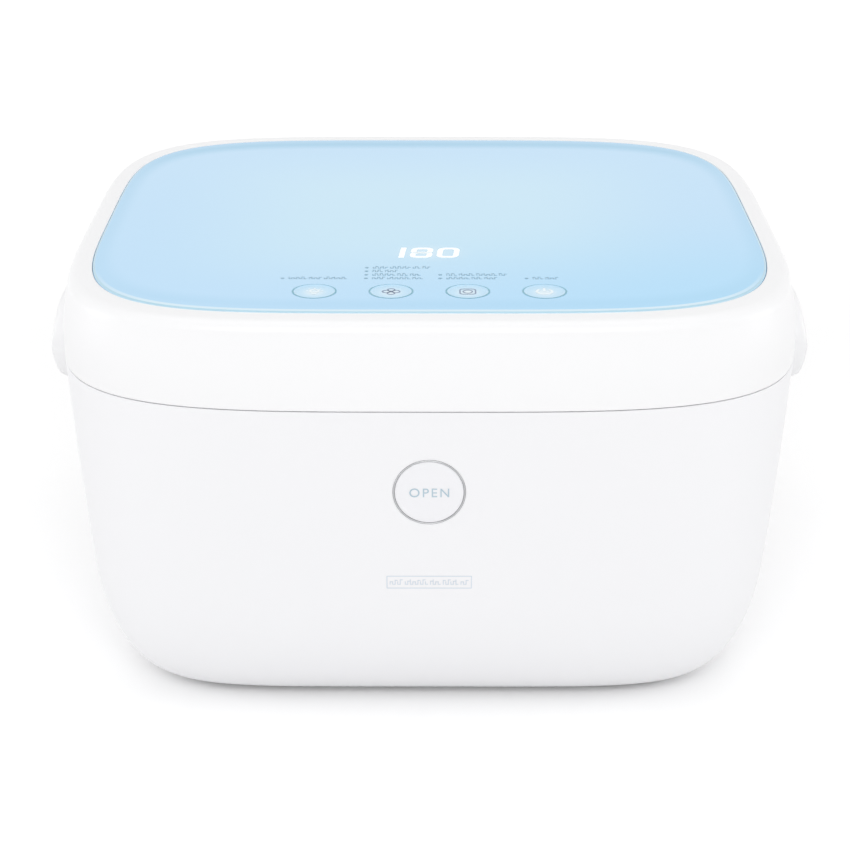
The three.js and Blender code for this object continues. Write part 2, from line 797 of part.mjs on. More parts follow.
function blowerHousing() {
  const inside = scrollThickness - scrollWall * 2;
  const shell = extrudeAtBlower(scrollShape(0, outletReach), scrollThickness, blowerFront);
  const hollow = extrudeAtBlower(scrollShape(scrollWall, outletReach + overshoot), inside,
    blowerFront + scrollWall);
  const inlet = rod(inletRadius, (scrollWall + overshoot) * 2, 'y', blowerSide, blowerBack,
    blowerHeight, roundFacets);
  const ears = sides.map((side) => {
    const x = blowerSide + side * mountPostSide;
    const z = blowerHeight - side * mountPostSide;
    return join(
      rod(mountPostRadius + scrollWall, scrollWall, 'y', x, blowerBack - scrollWall / 2, z),
      block(mountPostRadius * 2, scrollWall, mountPostRadius * 2, blowerSide
        + side * (mountPostSide - mountPostRadius), blowerBack - scrollWall / 2, blowerHeight
        - side * (mountPostSide - mountPostRadius)),
    );
  });
  return cut(join(shell, ...ears), hollow, inlet);
}

function blowerMotor() {
  const start = blowerFront + scrollWall + seatGap;
  return rod(motorRadius, motorLength, 'y', blowerSide, start + motorLength / 2, blowerHeight);
}

// Forward-bladed wheel whose cup runs over the motor.
function blowerImpeller() {
  const start = blowerFront + scrollWall + seatGap + impellerPlate;
  const cupEnd = blowerFront + scrollWall + seatGap + motorLength + seatGap;
  const cup = turned([
    [hubRadius, start],
    [hubRadius, cupEnd + hubWall],
    [motorShaftRadius, cupEnd + hubWall],
    [motorShaftRadius, cupEnd],
    [hubRadius - hubWall, cupEnd],
    [hubRadius - hubWall, start],
  ], true, smallFacets);
  const plate = turned([
    [impellerRadius, start],
    [impellerRadius, start + impellerPlate],
    [hubRadius - hubWall / 2, start + impellerPlate],
    [hubRadius - hubWall / 2, start],
  ], true, roundFacets);
  const blades = Array.from({ length: bladeCount }, (_, i) => {
    const blade = block(bladeDepth, bladeThickness, impellerWidth, 0, 0, 0);
    blade.rotateZ(bladeAngle * degree).translate(impellerRadius - bladeDepth / 2 - bladeThickness, 0,
      start + impellerWidth / 2 + impellerPlate / 2);
    return blade.rotateZ((i / bladeCount) * fullTurn);
  });
  const brace = turned([
    [impellerRadius, start + impellerWidth],
    [impellerRadius, start + impellerWidth + bladeThickness],
    [impellerRadius - bladeDepth / 2, start + impellerWidth + bladeThickness],
    [impellerRadius - bladeDepth / 2, start + impellerWidth],
  ], true, roundFacets);
  const wheel = join(cup, plate, brace, ...blades);
  return wheel.rotateX(-fullTurn / 4).translate(blowerSide, 0, blowerHeight);
}

// A box open below to the blower and in front to the chamber.
function airDuct() {
  const front = chamberBack + seatGap;
  const depth = blowerBack - front;
  const middleY = front + depth / 2;
  const middleZ = (ductBottom + ductTop) / 2;
  const box = block(outletWidth + scrollWall * 2, depth, ductHeight, ductSide, middleY, middleZ);
  const inside = block(outletWidth, depth, ductHeight, ductSide, middleY - scrollWall,
    middleZ - scrollWall);
  return cut(box, inside);
}

function heater() {
  const front = chamberBack + seatGap + heaterInset;
  const back = blowerBack - scrollWall - seatGap;
  const wide = outletWidth - seatGap * 2;
  const bottom = ductBottom + heaterRail;
  const top = ductTop - scrollWall - heaterRail;
  const rails = [bottom, top - heaterRail].map((z) =>
    block(wide, back - front, heaterRail, ductSide, (front + back) / 2, z + heaterRail / 2));
  const pitch = (wide - heaterFinThickness) / (heaterFinCount - 1);
  const fins = spread(heaterFinCount, pitch).map((x) =>
    block(heaterFinThickness, back - front, top - bottom, ductSide + x, (front + back) / 2,
      (top + bottom) / 2));
  return join(...rails, ...fins);
}

function buttonRing() {
  const inner = ringRadius - ringWidth;
  return atButton(turned([
    [inner, 0],
    [inner + ringRound, -ringProud],
    [ringRadius - ringRound, -ringProud],
    [ringRadius, 0],
    [ringRadius, collarDepth],
    [collarRadius, collarDepth],
    [collarRadius, collarDepth + collarThickness],
    [ringRadius, collarDepth + collarThickness],
    [ringRadius, sleeveDepth + collarThickness],
    [stemRadius + seatGap, sleeveDepth + collarThickness],
    [stemRadius + seatGap, sleeveDepth],
    [inner, sleeveDepth],
  ], true, roundFacets));
}

function openButton() {
  const radius = ringRadius - ringWidth - seatGap;
  return atButton(turned([
    ...buttonDomeShares.map(([out, up]) => [radius * out, -buttonDome * up]),
    [radius, 0],
    [radius, buttonThickness],
    [stemRadius, buttonThickness],
    [stemRadius, stemReach],
  ], false, roundFacets));
}

class CoilPath extends THREE.Curve {
  constructor(radius, turns, pitch) {
    super();
    this.radius = radius;
    this.turns = turns;
    this.pitch = pitch;
  }

  getPoint(t, target = new THREE.Vector3()) {
    const angle = t * this.turns * fullTurn;
    return target.set(this.radius * Math.cos(angle), this.radius * Math.sin(angle),
      t * this.turns * this.pitch);
  }
}

// A round wire wound about Z, closed at both ends.
function coil(radius, wire, turns, pitch) {
  const path = new CoilPath(radius, turns, pitch);
  const steps = turns * coilSteps;
  const rings = Array.from({ length: steps + 1 }, (_, i) => {
    const centre = path.getPoint(i / steps);
    const outward = new THREE.Vector3(centre.x, centre.y, 0).normalize();
    const along = path.getTangent(i / steps);
    const up = new THREE.Vector3().crossVectors(along, outward);
    return outline(wire, wire, 2, wireFacets).map(([u, v]) => {
      const point = centre.clone().addScaledVector(outward, u).addScaledVector(up, -v);
      return point.toArray();
    });
  });
  return loft(rings.reverse(), false);
}

function buttonSpring() {
  const start = buttonThickness + seatGap + springWire;
  const room = sleeveDepth - start - seatGap - springWire;
  return atButton(coil(springRadius, springWire, springTurns, room / springTurns)
    .translate(0, 0, start));
}

function hingeSpring() {
  const room = (knuckleInner - seatGap - hingeSpringWire) * 2;
  const wound = coil(hingePinRadius + seatGap + hingeSpringWire, hingeSpringWire,
    hingeSpringTurns, room / hingeSpringTurns);
  return wound.translate(0, 0, -room / 2).rotateY(fullTurn / 4).translate(0, hingeDepth, seam);
}

// A plate behind the button with a loop at its top that reaches round the lid's catch.
function latchSlider() {
  const bottom = buttonHeight - latchFoot;
  const loopDepth = latchFront - latchBarBack;
  const plate = block(latchHalfWidth * 2, latchPlate, latchBarTop - bottom, 0,
    -(latchFront - latchPlate / 2), (latchBarTop + bottom) / 2);
  const arms = sides.map((side) =>
    block(latchHalfWidth - catchHalfWidth - slotMargin, loopDepth, latchBar,
      side * ((latchHalfWidth + catchHalfWidth + slotMargin) / 2),
      -(latchFront + latchBarBack) / 2, latchBarTop - latchBar / 2));
  const nose = block(latchHalfWidth * 2, latchBar, latchBar, 0, -(latchBarBack + latchBar / 2),
    latchBarTop - latchBar / 2);
  return join(plate, ...arms, nose);
}

// A channel under the deck in which the slider runs.
function latchGuide() {
  const top = deckBottom - seatGap;
  const bottom = buttonHeight - latchFoot - guideWall - seatGap;
  const wide = latchHalfWidth + seatGap + guideWall;
  const front = latchFront;
  const rails = sides.map((side) =>
    block(guideWall, guideLength, top - bottom, side * (wide - guideWall / 2),
      -(front - guideLength / 2), (top + bottom) / 2));
  const floor = block(wide * 2, guideLength, guideWall, 0, -(front - guideLength / 2),
    bottom + guideWall / 2);
  return join(...rails, floor);
}

// The claw that hangs from the lid through the slot of the deck.
function lidCatch() {
  const top = underplateBottom - seatGap;
  const stalk = block(catchHalfWidth * 2, catchThickness, top - catchBottom, 0,
    -(catchFront - catchThickness / 2), (top + catchBottom) / 2);
  const lip = block(catchHalfWidth * 2, catchThickness + catchLip, catchLipHeight, 0,
    -(catchFront + catchTip) / 2, catchBottom + catchLipHeight / 2);
  return join(stalk, lip);
}

function hingePin() {
  return rod(hingePinRadius, (lugInner + lugWidth) * 2, 'x', 0, hingeDepth, seam);
}

// The bail: a swept bar whose ends turn on the studs and whose grip lies behind the box.
function carryHandle() {
  const noses = handleNoseShares.map((share) => ({
    place: [handleHalfWidth, (share * handleEndHeight) / 2],
    tall: Math.sqrt(1 - share ** 2),
    out: [1, 0],
    blend: 0,
  }));
  const sweep = Array.from({ length: handleStations + 1 }, (_, i) => {
    const turn = (i / handleStations) * (fullTurn / 2);
    const angle = turn + (cornerCrowding * Math.sin(turn * 4)) / 4;
    const x = Math.cos(angle);
    const y = Math.sin(angle);
    const sum = Math.abs(x / handleHalfWidth) ** gripSquareness
      + Math.abs(y / gripDepth) ** gripSquareness;
    const reach = sum ** (-1 / gripSquareness);
    const place = [reach * x, reach * y];
    const normal = [
      Math.sign(x) * (Math.abs(place[0]) / handleHalfWidth) ** (gripSquareness - 1)
        / handleHalfWidth,
      (Math.abs(place[1]) / gripDepth) ** (gripSquareness - 1) / gripDepth,
    ];
    const size = Math.hypot(...normal);
    return {
      place,
      tall: 1,
      out: normal.map((n) => n / size),
      blend: (place[1] / gripDepth) ** 2,
    };
  });
  const mirrored = [...noses].reverse().map((station) => ({
    ...station,
    place: [-station.place[0], station.place[1]],
    out: [-1, 0],
  }));
  const rings = [...noses, ...sweep, ...mirrored].map(({ place, tall, out, blend }) => {
    const high = (handleEndHeight + (gripHeight - handleEndHeight) * blend) / 2;
    const thick = (handleEndThickness + (gripThickness - handleEndThickness) * blend) / 2;
    return handleSection(high * tall, thick).map(([up, outward]) => [
      place[0] + out[0] * outward,
      place[1] + out[1] * outward,
      handleHeight + up,
    ]);
  });
  const bore = sides.map((side) => rod(studRadius + seatGap, studReach * 2, 'x',
    side * halfWidth, 0, handleHeight, smallFacets));
  return cut(loft(rings, false), ...bore);
}

// An upright section, rounder at its top than at its bottom.
function handleSection(high, thick) {
  return Array.from({ length: handleFacets }, (_, i) => {
    const angle = (i / handleFacets) * fullTurn;
    const up = Math.cos(angle);
    const out = Math.sin(angle);
    const squareness = up > 0 ? handleTopSquareness : handleBottomSquareness;
    const sum = Math.abs(up / high) ** squareness + Math.abs(out / thick) ** squareness;
    const reach = sum ** (-1 / squareness);
    return [reach * up, reach * out];
  });
}

// A stud with its flange inside the wall and its end in the handle.
function pivotStud(side) {
  const wallInside = halfWidth - wall - seatGap - bodyInset(handleDrop + studFlangeRadius);
  const end = halfWidth + studReach - seatGap;
  const stud = turned([
    [studFlangeRadius, wallInside - studFlangeThickness],
    [studFlangeRadius, wallInside],
    [studRadius, wallInside],
    [studRadius, end],
  ], false, smallFacets);
  return stud.rotateY((side * fullTurn) / 4).translate(0, 0, handleHeight);
}

function lidUnderplate() {
  const edge = wall + seatGap;
  const height = (z) => (z - lidBottom) / (rimTop - rimRound - seamGap);
  const outerRing = (z) => {
    const lean = (halfWidth - rimHalfWidth) * height(z);
    return ring(halfWidth - edge - lean, halfDepth - edge - lean, seamSquareness, z, outlineFacets);
  };
  const hole = (z) => ring(reflectorHalfWidth, reflectorHalfDepth, chamberSquareness, z,
    outlineFacets, 0, chamberOffset);
  const plate = loft([
    outerRing(underplateBottom),
    outerRing(underplateTop),
    hole(underplateTop),
    hole(underplateBottom),
  ], true);
  const screwHoles = corners.map(([x, y]) =>
    rod(screwRadius + seatGap, (underplateThickness + overshoot) * 2, 'z', x * lidBossX,
      y * lidBossY, underplateBottom));
  return cut(plate, ...screwHoles);
}

// A shallow bright tray that faces down from the lid.
function lidReflector() {
  const shape = (offset, z) => ring(reflectorHalfWidth + offset, reflectorHalfDepth + offset,
    chamberSquareness, z, outlineFacets, 0, chamberOffset);
  const half = reflectorHeight / 2;
  const rings = [
    shape(-half, reflectorRoof),
    shape(-linerWall, reflectorRoof - half),
    shape(0, reflectorFlange),
    shape(flangeWidth, reflectorFlange),
    shape(flangeWidth, reflectorFlange + linerWall),
    shape(linerWall, reflectorFlange + linerWall),
    shape(0, reflectorRoof - half + linerWall),
    shape(linerWall - half, reflectorRoof + linerWall),
  ];
  const lampHole = block(windowWidth - windowLap * 2, windowDepth - windowLap * 2,
    reflectorHeight, 0, -chamberOffset, reflectorRoof);
  return cut(loft(rings, false), lampHole);
}

function lidGasket() {
  const bottom = flangeTop + seatGap;
  const top = underplateBottom - seatGap;
  const shape = (offset, z) => ring(chamberHalfWidth + offset, chamberHalfDepth + offset,
    chamberSquareness, z, outlineFacets, 0, chamberOffset);
  return loft([
    shape(linerWall + gasketWidth, bottom),
    shape(linerWall + gasketWidth, top),
    shape(linerWall, top),
    shape(linerWall, bottom),
  ], true);
}

function touchBoard() {
  const top = -panelThickness - seatGap - displayHeight - seatGap;
  const plate = block(touchBoardWidth, touchBoardDepth, boardThickness, 0, -touchBoardCentre,
    top - boardThickness / 2);
  const postTop = -panelThickness - seatGap;
  const posts = keyShares.map((share) =>
    rod(touchPostRadius, postTop - top + boardThickness, 'z', share * keyPitch, -keyRow,
      (postTop + top - boardThickness) / 2));
  return underPanel(join(plate, ...posts));
}

function displayModule() {
  const top = -panelThickness - seatGap;
  return underPanel(block(displayWidth, displayDepth, displayHeight, 0, -displayRow,
    top - displayHeight / 2));
}

// Two rails on the reflector's roof that carry the touch board.
function boardBracket() {
  const roof = reflectorRoof + linerWall + seatGap;
  const boardUnder = -panelThickness - displayHeight - boardThickness - seatGap * 3;
  const back = windowDepth / 2 + chamberOffset + bracketClearance;
  const front = reflectorHalfDepth - reflectorHeight;
  const rails = sides.map((side) =>
    block(bracketRailWidth, front - back, panelHeight, side * (touchBoardWidth / 2
      - bracketRailWidth), -(front + back) / 2, roof + panelHeight / 2));
  const tie = block(touchBoardWidth - bracketRailWidth, bracketRailWidth, bracketHeight, 0,
    -(front - bracketRailWidth), roof + bracketHeight / 2);
  const above = underPanel(block(halfWidth * 2, halfDepth * 2, panelHeight * 2, 0, 0,
    boardUnder + panelHeight));
  return cut(join(...rails, tie), above);
}

function lidMagnet() {
  const bottom = underplateTop + seatGap;
  return rod(magnetRadius, magnetHeight, 'z', -magnetSide, -magnetRow, bottom + magnetHeight / 2);
}

function reedSensor() {
  return block(sensorLength, sensorWidth, sensorHeight, -magnetSide, -magnetRow,
    deckBottom - seatGap - sensorHeight / 2);
}

// Materials by name: colour, roughness and metalness.
const finishes = {
  white_plastic: [0xf7f7f8, 0.35, 0],
  white_button: [0xfbfbfc, 0.35, 0],
  blue_glass: [0xc9e6fa, 0.08, 0],
  bright_metal: [0xd8dadc, 0.12, 1],
  steel: [0xb9bcc0, 0.28, 1],
  ring_metal: [0xc9cacb, 0.3, 1],
  grey_rubber: [0x8d9092, 0.8, 0],
  silicone: [0xe9ebed, 0.7, 0],
  quartz: [0xe4f0f4, 0.05, 0],
  board_green: [0x1f6b45, 0.5, 0],
  board_white: [0xeef0ee, 0.5, 0],
  black_plastic: [0x232528, 0.5, 0],
  grey_plastic: [0xb4b8bb, 0.5, 0],
  aluminium: [0xc3c6c8, 0.35, 1],
  magnet_nickel: [0xa9acb0, 0.25, 1],
};

const group = new THREE.Group();
group.name = 'uv_sterilizer_box';

function add(name, geometry, finish) {
  const [color, roughness, metalness] = finishes[finish];
  geometry.translate(0, -centreShift, 0);
  geometry.computeVertexNormals();
  const material = new THREE.MeshStandardMaterial({ color, roughness, metalness });
  material.name = finish;
  const mesh = new THREE.Mesh(geometry, material);
  mesh.name = name;
  group.add(mesh);
}

add('outer_body', outerBody(), 'white_plastic');
add('bottom_cover', bottomCover(), 'white_plastic');
add('top_deck', topDeck(), 'white_plastic');
add('inner_liner', innerLiner(), 'bright_metal');
add('wire_rack', wireRack(), 'steel');
add('base_lamp_window', lampWindow(floorUnder - seatGap - windowThickness), 'quartz');
add('base_lamp_board', lampBoard(floorUnder - windowThickness - ledHeight - seatGap * 2, 1),
  'board_white');
add('main_board', mainBoard(), 'board_green');
add('power_jack', powerJack(), 'black_plastic');
add('blower_housing', blowerHousing(), 'black_plastic');
add('blower_motor', blowerMotor(), 'steel');
add('blower_impeller', blowerImpeller(), 'grey_plastic');
add('air_duct', airDuct(), 'grey_plastic');
add('duct_heater', heater(), 'aluminium');
add('button_ring', buttonRing(), 'ring_metal');
add('open_button', openButton(), 'white_button');
add('button_spring', buttonSpring(), 'steel');
add('latch_slider', latchSlider(), 'grey_plastic');
add('latch_guide', latchGuide(), 'white_plastic');
add('reed_sensor', reedSensor(), 'black_plastic');
add('hinge_pin', hingePin(), 'steel');
add('hinge_spring', hingeSpring(), 'steel');
add('carry_handle', carryHandle(), 'white_plastic');
add('lid_shell', lidShell(), 'white_plastic');
add('glass_panel', glassPanel(), 'blue_glass');
add('lid_underplate', lidUnderplate(), 'white_plastic');
add('lid_reflector', lidReflector(), 'bright_metal');
add('lid_gasket', lidGasket(), 'silicone');
add('lid_lamp_window', lampWindow(reflectorRoof + linerWall + seatGap), 'quartz');
add('lid_lamp_board', lampBoard(reflectorRoof + linerWall + windowThickness + ledHeight
  + seatGap * 2, -1), 'board_white');
add('touch_board', touchBoard(), 'board_green');
add('display_module', displayModule(), 'black_plastic');
add('board_bracket', boardBracket(), 'white_plastic');
add('lid_catch', lidCatch(), 'grey_plastic');
add('lid_magnet', lidMagnet(), 'magnet_nickel');
sides.forEach((side, i) => add(`pivot_stud_${i + 1}`, pivotStud(side), 'grey_plastic'));
corners.forEach(([x, y], i) => {
  add(`foot_${i + 1}`, foot(x, y), 'grey_rubber');
  add(`cover_screw_${i + 1}`, screw(x * bossX, y * bossY, footHeight), 'steel');
  add(`lid_screw_${i + 1}`, screw(x * lidBossX, y * lidBossY, underplateBottom), 'steel');
});

export default group;
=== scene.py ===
import json
from math import atan, atan2, cos, hypot, pi, radians, sin, sqrt, tan

import bmesh
import bpy
from mathutils import Matrix, Vector


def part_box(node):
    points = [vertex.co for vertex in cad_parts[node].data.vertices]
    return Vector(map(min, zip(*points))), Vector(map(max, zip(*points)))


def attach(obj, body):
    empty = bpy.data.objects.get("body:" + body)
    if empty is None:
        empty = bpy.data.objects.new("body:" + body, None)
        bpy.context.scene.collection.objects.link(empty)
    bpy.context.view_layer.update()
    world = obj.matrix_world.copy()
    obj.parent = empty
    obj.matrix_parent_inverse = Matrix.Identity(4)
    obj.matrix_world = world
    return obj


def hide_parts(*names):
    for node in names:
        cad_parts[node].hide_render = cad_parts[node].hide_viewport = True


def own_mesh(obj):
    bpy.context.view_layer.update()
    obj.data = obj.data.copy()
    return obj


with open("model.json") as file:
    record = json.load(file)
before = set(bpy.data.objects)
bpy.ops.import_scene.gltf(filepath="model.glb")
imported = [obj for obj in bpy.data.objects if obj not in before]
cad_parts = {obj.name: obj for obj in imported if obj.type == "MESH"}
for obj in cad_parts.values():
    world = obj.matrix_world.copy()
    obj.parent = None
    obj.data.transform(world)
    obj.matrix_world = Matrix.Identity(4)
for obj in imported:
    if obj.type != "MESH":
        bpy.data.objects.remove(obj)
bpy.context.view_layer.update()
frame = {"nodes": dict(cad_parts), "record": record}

# Sizes in millimetres, measured from the middle of the lid seam with the front toward -Y.
# WIDE and DEEP are half sizes along X and Y, and a SQUARE is the power of a superellipse.
MM = 0.001
TURN = 2 * pi
SEAM_WIDE = 170
SEAM_DEEP = 154.8
SEAM_SQUARE = 3.89
BODY_HIGH = 151.6
FOOT_HIGH = 3
BOTTOM_SQUARE = 6
WALL = 3
GAP = 0.3
DRAFT = 0.1
BOW_LENGTH = 7690
ROUND_HIGH = 54.5
ROUND_REACH = 24.7
SEAM_GAP = 0.4
LIP_ROUND = 0.35
PANEL_WIDE = 154.7
PANEL_DEEP = 138.7
PANEL_SQUARE = 4.55
PANEL_HIGH = 44.6
PANEL_TILT = 2.1
PANEL_THICK = 4
PANEL_PROUD = 0.4
PANEL_EDGE = 1
PANEL_UNDER = 0.3
RIM_SIDE = 10.7
RIM_END = 12.7
RIM_ROUND = 5.5
RIM_LIP = 0.3
LEDGE_WIDE = 6
GLASS_GAP = 0.12
LID_BULGE = 1.2
KEY_RADIUS = 9
KEY_DEPTH = 0.5
KEY_SLOPE = 1.2
KEY_ROW = 111.7
KEY_PITCH = 33.5
CHAMBER_WIDE = 138
CHAMBER_DEEP = 110
CHAMBER_BACK = 3
CHAMBER_SQUARE = 5
CHAMBER_FLOOR = 50
CHAMBER_ROUND = 16
CHAMBER_DRAFT = 3
SHEET = 1
FLANGE_WIDE = 6
FLANGE_DROP = 0.7
DECK_THICK = 3
DECK_SKIRT = 4.5
TRAY_WIDE = 126
TRAY_DEEP = 98
TRAY_HIGH = 12
WINDOW_WIDE = 122
WINDOW_DEEP = 36
BUTTON_DROP = 38.2
RING_RADIUS = 15.85
RING_WIDE = 0.85
RING_PROUD = 0.35
RING_GAP = 0.06
RING_FLANGE = 19
RING_SEAT = 5
RING_WALL = 1.5
BUTTON_DOME = 0.4
BUTTON_THICK = 3
STEM_RADIUS = 4.5
STEM_REACH = 19
SLEEVE_DEEP = 13
HINGE_RADIUS = 6
HINGE_ROOT = 9
LUG_INNER = 40
LUG_WIDE = 12
KNUCKLE_INNER = 9
PIN_RADIUS = 2.5
HANDLE_GAP = 0.4
HANDLE_THICK = 13.5
HANDLE_HIGH = 44
HANDLE_DROP = 15
HANDLE_TOP_SQUARE = 2.6
HANDLE_LOW_SQUARE = 5
GRIP_THICK = 12
GRIP_HIGH = 22
GRIP_SQUARE = 4.6
GRIP_BACK = 22.2
VENT_WIDE = 2.5
VENT_HIGH = 30
SLOT_WIDE = 3
SLOT_PITCH = 6
JACK_RADIUS = 6
SCREW_RADIUS = 2.3
DIGIT_ROW = 58.4
DIGIT_PLACES = (-12.4, -3.6, 8.6)
DIGIT_WIDE = 10.2
DIGIT_HIGH = 14.8
DIGIT_LINE = 2.6
DIGIT_LEAN = 0.08
PRINT_THICK = 0.04
PRINT_LIFT = 0.03

SEAM = FOOT_HIGH + BODY_HIGH
RIM_TOP = PANEL_HIGH - PANEL_PROUD
HANDLE_UP = SEAM - HANDLE_DROP
HINGE_DEEP = SEAM_DEEP + HINGE_RADIUS + 2 * GAP
GRIP_DEEP = SEAM_DEEP + GRIP_BACK
CENTRE_SHIFT = (GRIP_DEEP + GRIP_THICK / 2 - SEAM_DEEP) / 2
TILT = tan(radians(PANEL_TILT))
FLANGE_TOP = SEAM - FLANGE_DROP
DECK_TOP = FLANGE_TOP - SHEET - GAP
UNDERPLATE_LOW, UNDERPLATE_TOP = (corner[2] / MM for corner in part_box("lid_underplate"))
TRAY_FLANGE = UNDERPLATE_TOP + GAP
TRAY_ROOF = TRAY_FLANGE + TRAY_HIGH
CORNER_CROWD = 0.42
SIDES = (-1, 1)
SIDE_NAMES = {-1: "left", 1: "right"}


# camera

FILM_WIDE = 36
LENS_LENGTH = 87.2
LOOK_DOWN = 20.928
LOOK_LEFT = 0.129
CAMERA_PLACE = (0, -0.98525, 0.46133)


def make_camera():
    """The photograph's viewpoint: a long lens a little above the lid."""
    lens = bpy.data.cameras.new("photo_camera")
    lens.sensor_width = FILM_WIDE
    lens.lens = LENS_LENGTH
    camera = bpy.data.objects.new("photo_camera", lens)
    camera.location = CAMERA_PLACE
    camera.rotation_euler = (radians(90 - LOOK_DOWN), 0, radians(LOOK_LEFT))
    bpy.context.collection.objects.link(camera)
    bpy.context.scene.camera = camera


make_camera()


# materials


def key_places():
    """The middles of the four keys on the glass, from left to right."""
    return [((i - 1.5) * KEY_PITCH, -KEY_ROW) for i in range(4)]


def linear(value):
    """sRGB hex to linear RGBA."""
    channels = [(value >> shift & 255) / 255 for shift in (16, 8, 0)]
    return (*(c / 12.92 if c <= 0.04045 else ((c + 0.055) / 1.055) ** 2.4 for c in channels), 1)


def add(tree, kind, settings=None, **links):
    """One node with its settings, and its inputs linked or set by name or number."""
    node = tree.nodes.new("ShaderNode" + kind)
    for key, value in (settings or {}).items():
        setattr(node, key, value)
    for key, value in links.items():
        socket = node.inputs[int(key[1:])] if key[0] == "_" else node.inputs[key.replace("_", " ")]
        if isinstance(value, bpy.types.NodeSocket):
            tree.links.new(value, socket)
        else:
            socket.default_value = value
    return node


def laid_over(tree, under, over, strength, *shares):
    """A colour with another laid over it, as strongly as all the shares multiplied: print, painted
    light and shade, and the floor's gain.
    """
    for share in shares:
        strength = add(tree, "Math", {"operation": "MULTIPLY"}, _0=strength, _1=share).outputs[0]
    return add(tree, "Mix", {"data_type": "RGBA"}, _0=strength, _6=under, _7=over).outputs[2]


def seen_from(tree, place, wide, deep):
    """A point of the glass as it lies from a place on it, in shares of these half sizes."""
    x, y = place
    return add(tree, "Mapping", None, Vector=add(tree, "TexCoord").outputs["Object"],
               Location=(-x / wide, (CENTRE_SHIFT - y) / deep, 0),
               Scale=(1 / (wide * MM), 1 / (deep * MM), 0)).outputs["Vector"]


def near(tree, place, wide, deep):
    """1 at a place on the glass, fading to 0 at an ellipse round it."""
    offset = seen_from(tree, place, wide, deep)
    far = add(tree, "VectorMath", {"operation": "LENGTH"}, _0=offset).outputs["Value"]
    return add(tree, "MapRange", {"interpolation_type": "SMOOTHSTEP"}, Value=far,
               From_Min=1.0, From_Max=0.0).outputs["Result"]


def new_material(name, colour, roughness, metallic=0.0, **sockets):
    """A Principled material; returns it with its tree and shader."""
    material = bpy.data.materials.new(name)
    material.use_nodes = True
    tree = material.node_tree
    shader = tree.nodes["Principled BSDF"]
    shader.inputs["Base Color"].default_value = linear(colour)
    shader.inputs["Roughness"].default_value = roughness
    shader.inputs["Metallic"].default_value = metallic
    for key, value in sockets.items():
        shader.inputs[key.replace("_", " ")].default_value = value
    material.diffuse_color = linear(colour)
    return material, tree, shader


def grain(tree, size_mm, detail=2.0):
    """Noise whose features are about this size."""
    place = add(tree, "TexCoord").outputs["Object"]
    return add(tree, "TexNoise", None, Vector=place, Scale=1 / (size_mm * MM), Detail=detail)


def roughen(tree, shader, noise, low, high):
    """Roughness that wanders between two values."""
    wander = add(tree, "MapRange", None, Value=noise.outputs["Fac"], To_Min=low, To_Max=high)
    tree.links.new(wander.outputs["Result"], shader.inputs["Roughness"])


def dimple(tree, shader, height, strength, depth_mm):
    """A fine relief in the surface's shading."""
    bump = add(tree, "Bump", None, Height=height, Strength=strength, Distance=depth_mm * MM)
    tree.links.new(bump.outputs["Normal"], shader.inputs["Normal"])


def moulded_abs(name, colour, low, high):
    """Moulded ABS with a satin shine: a very faint waviness breaks long highlights."""
    material, tree, shader = new_material(name, colour, low, IOR=1.53)
    noise = grain(tree, 9)
    roughen(tree, shader, noise, low, high)
    dimple(tree, shader, noise.outputs["Fac"], 0.12, 0.1)
    return material


def moulded_matt(name, colour, roughness):
    """Spark-textured moulding: a fine grit, drawn at 0.6 mm so that it shows."""
    material, tree, shader = new_material(name, colour, roughness, IOR=1.5)
    noise = grain(tree, 0.6)
    dimple(tree, shader, noise.outputs["Fac"], 0.3, 0.05)
    return material


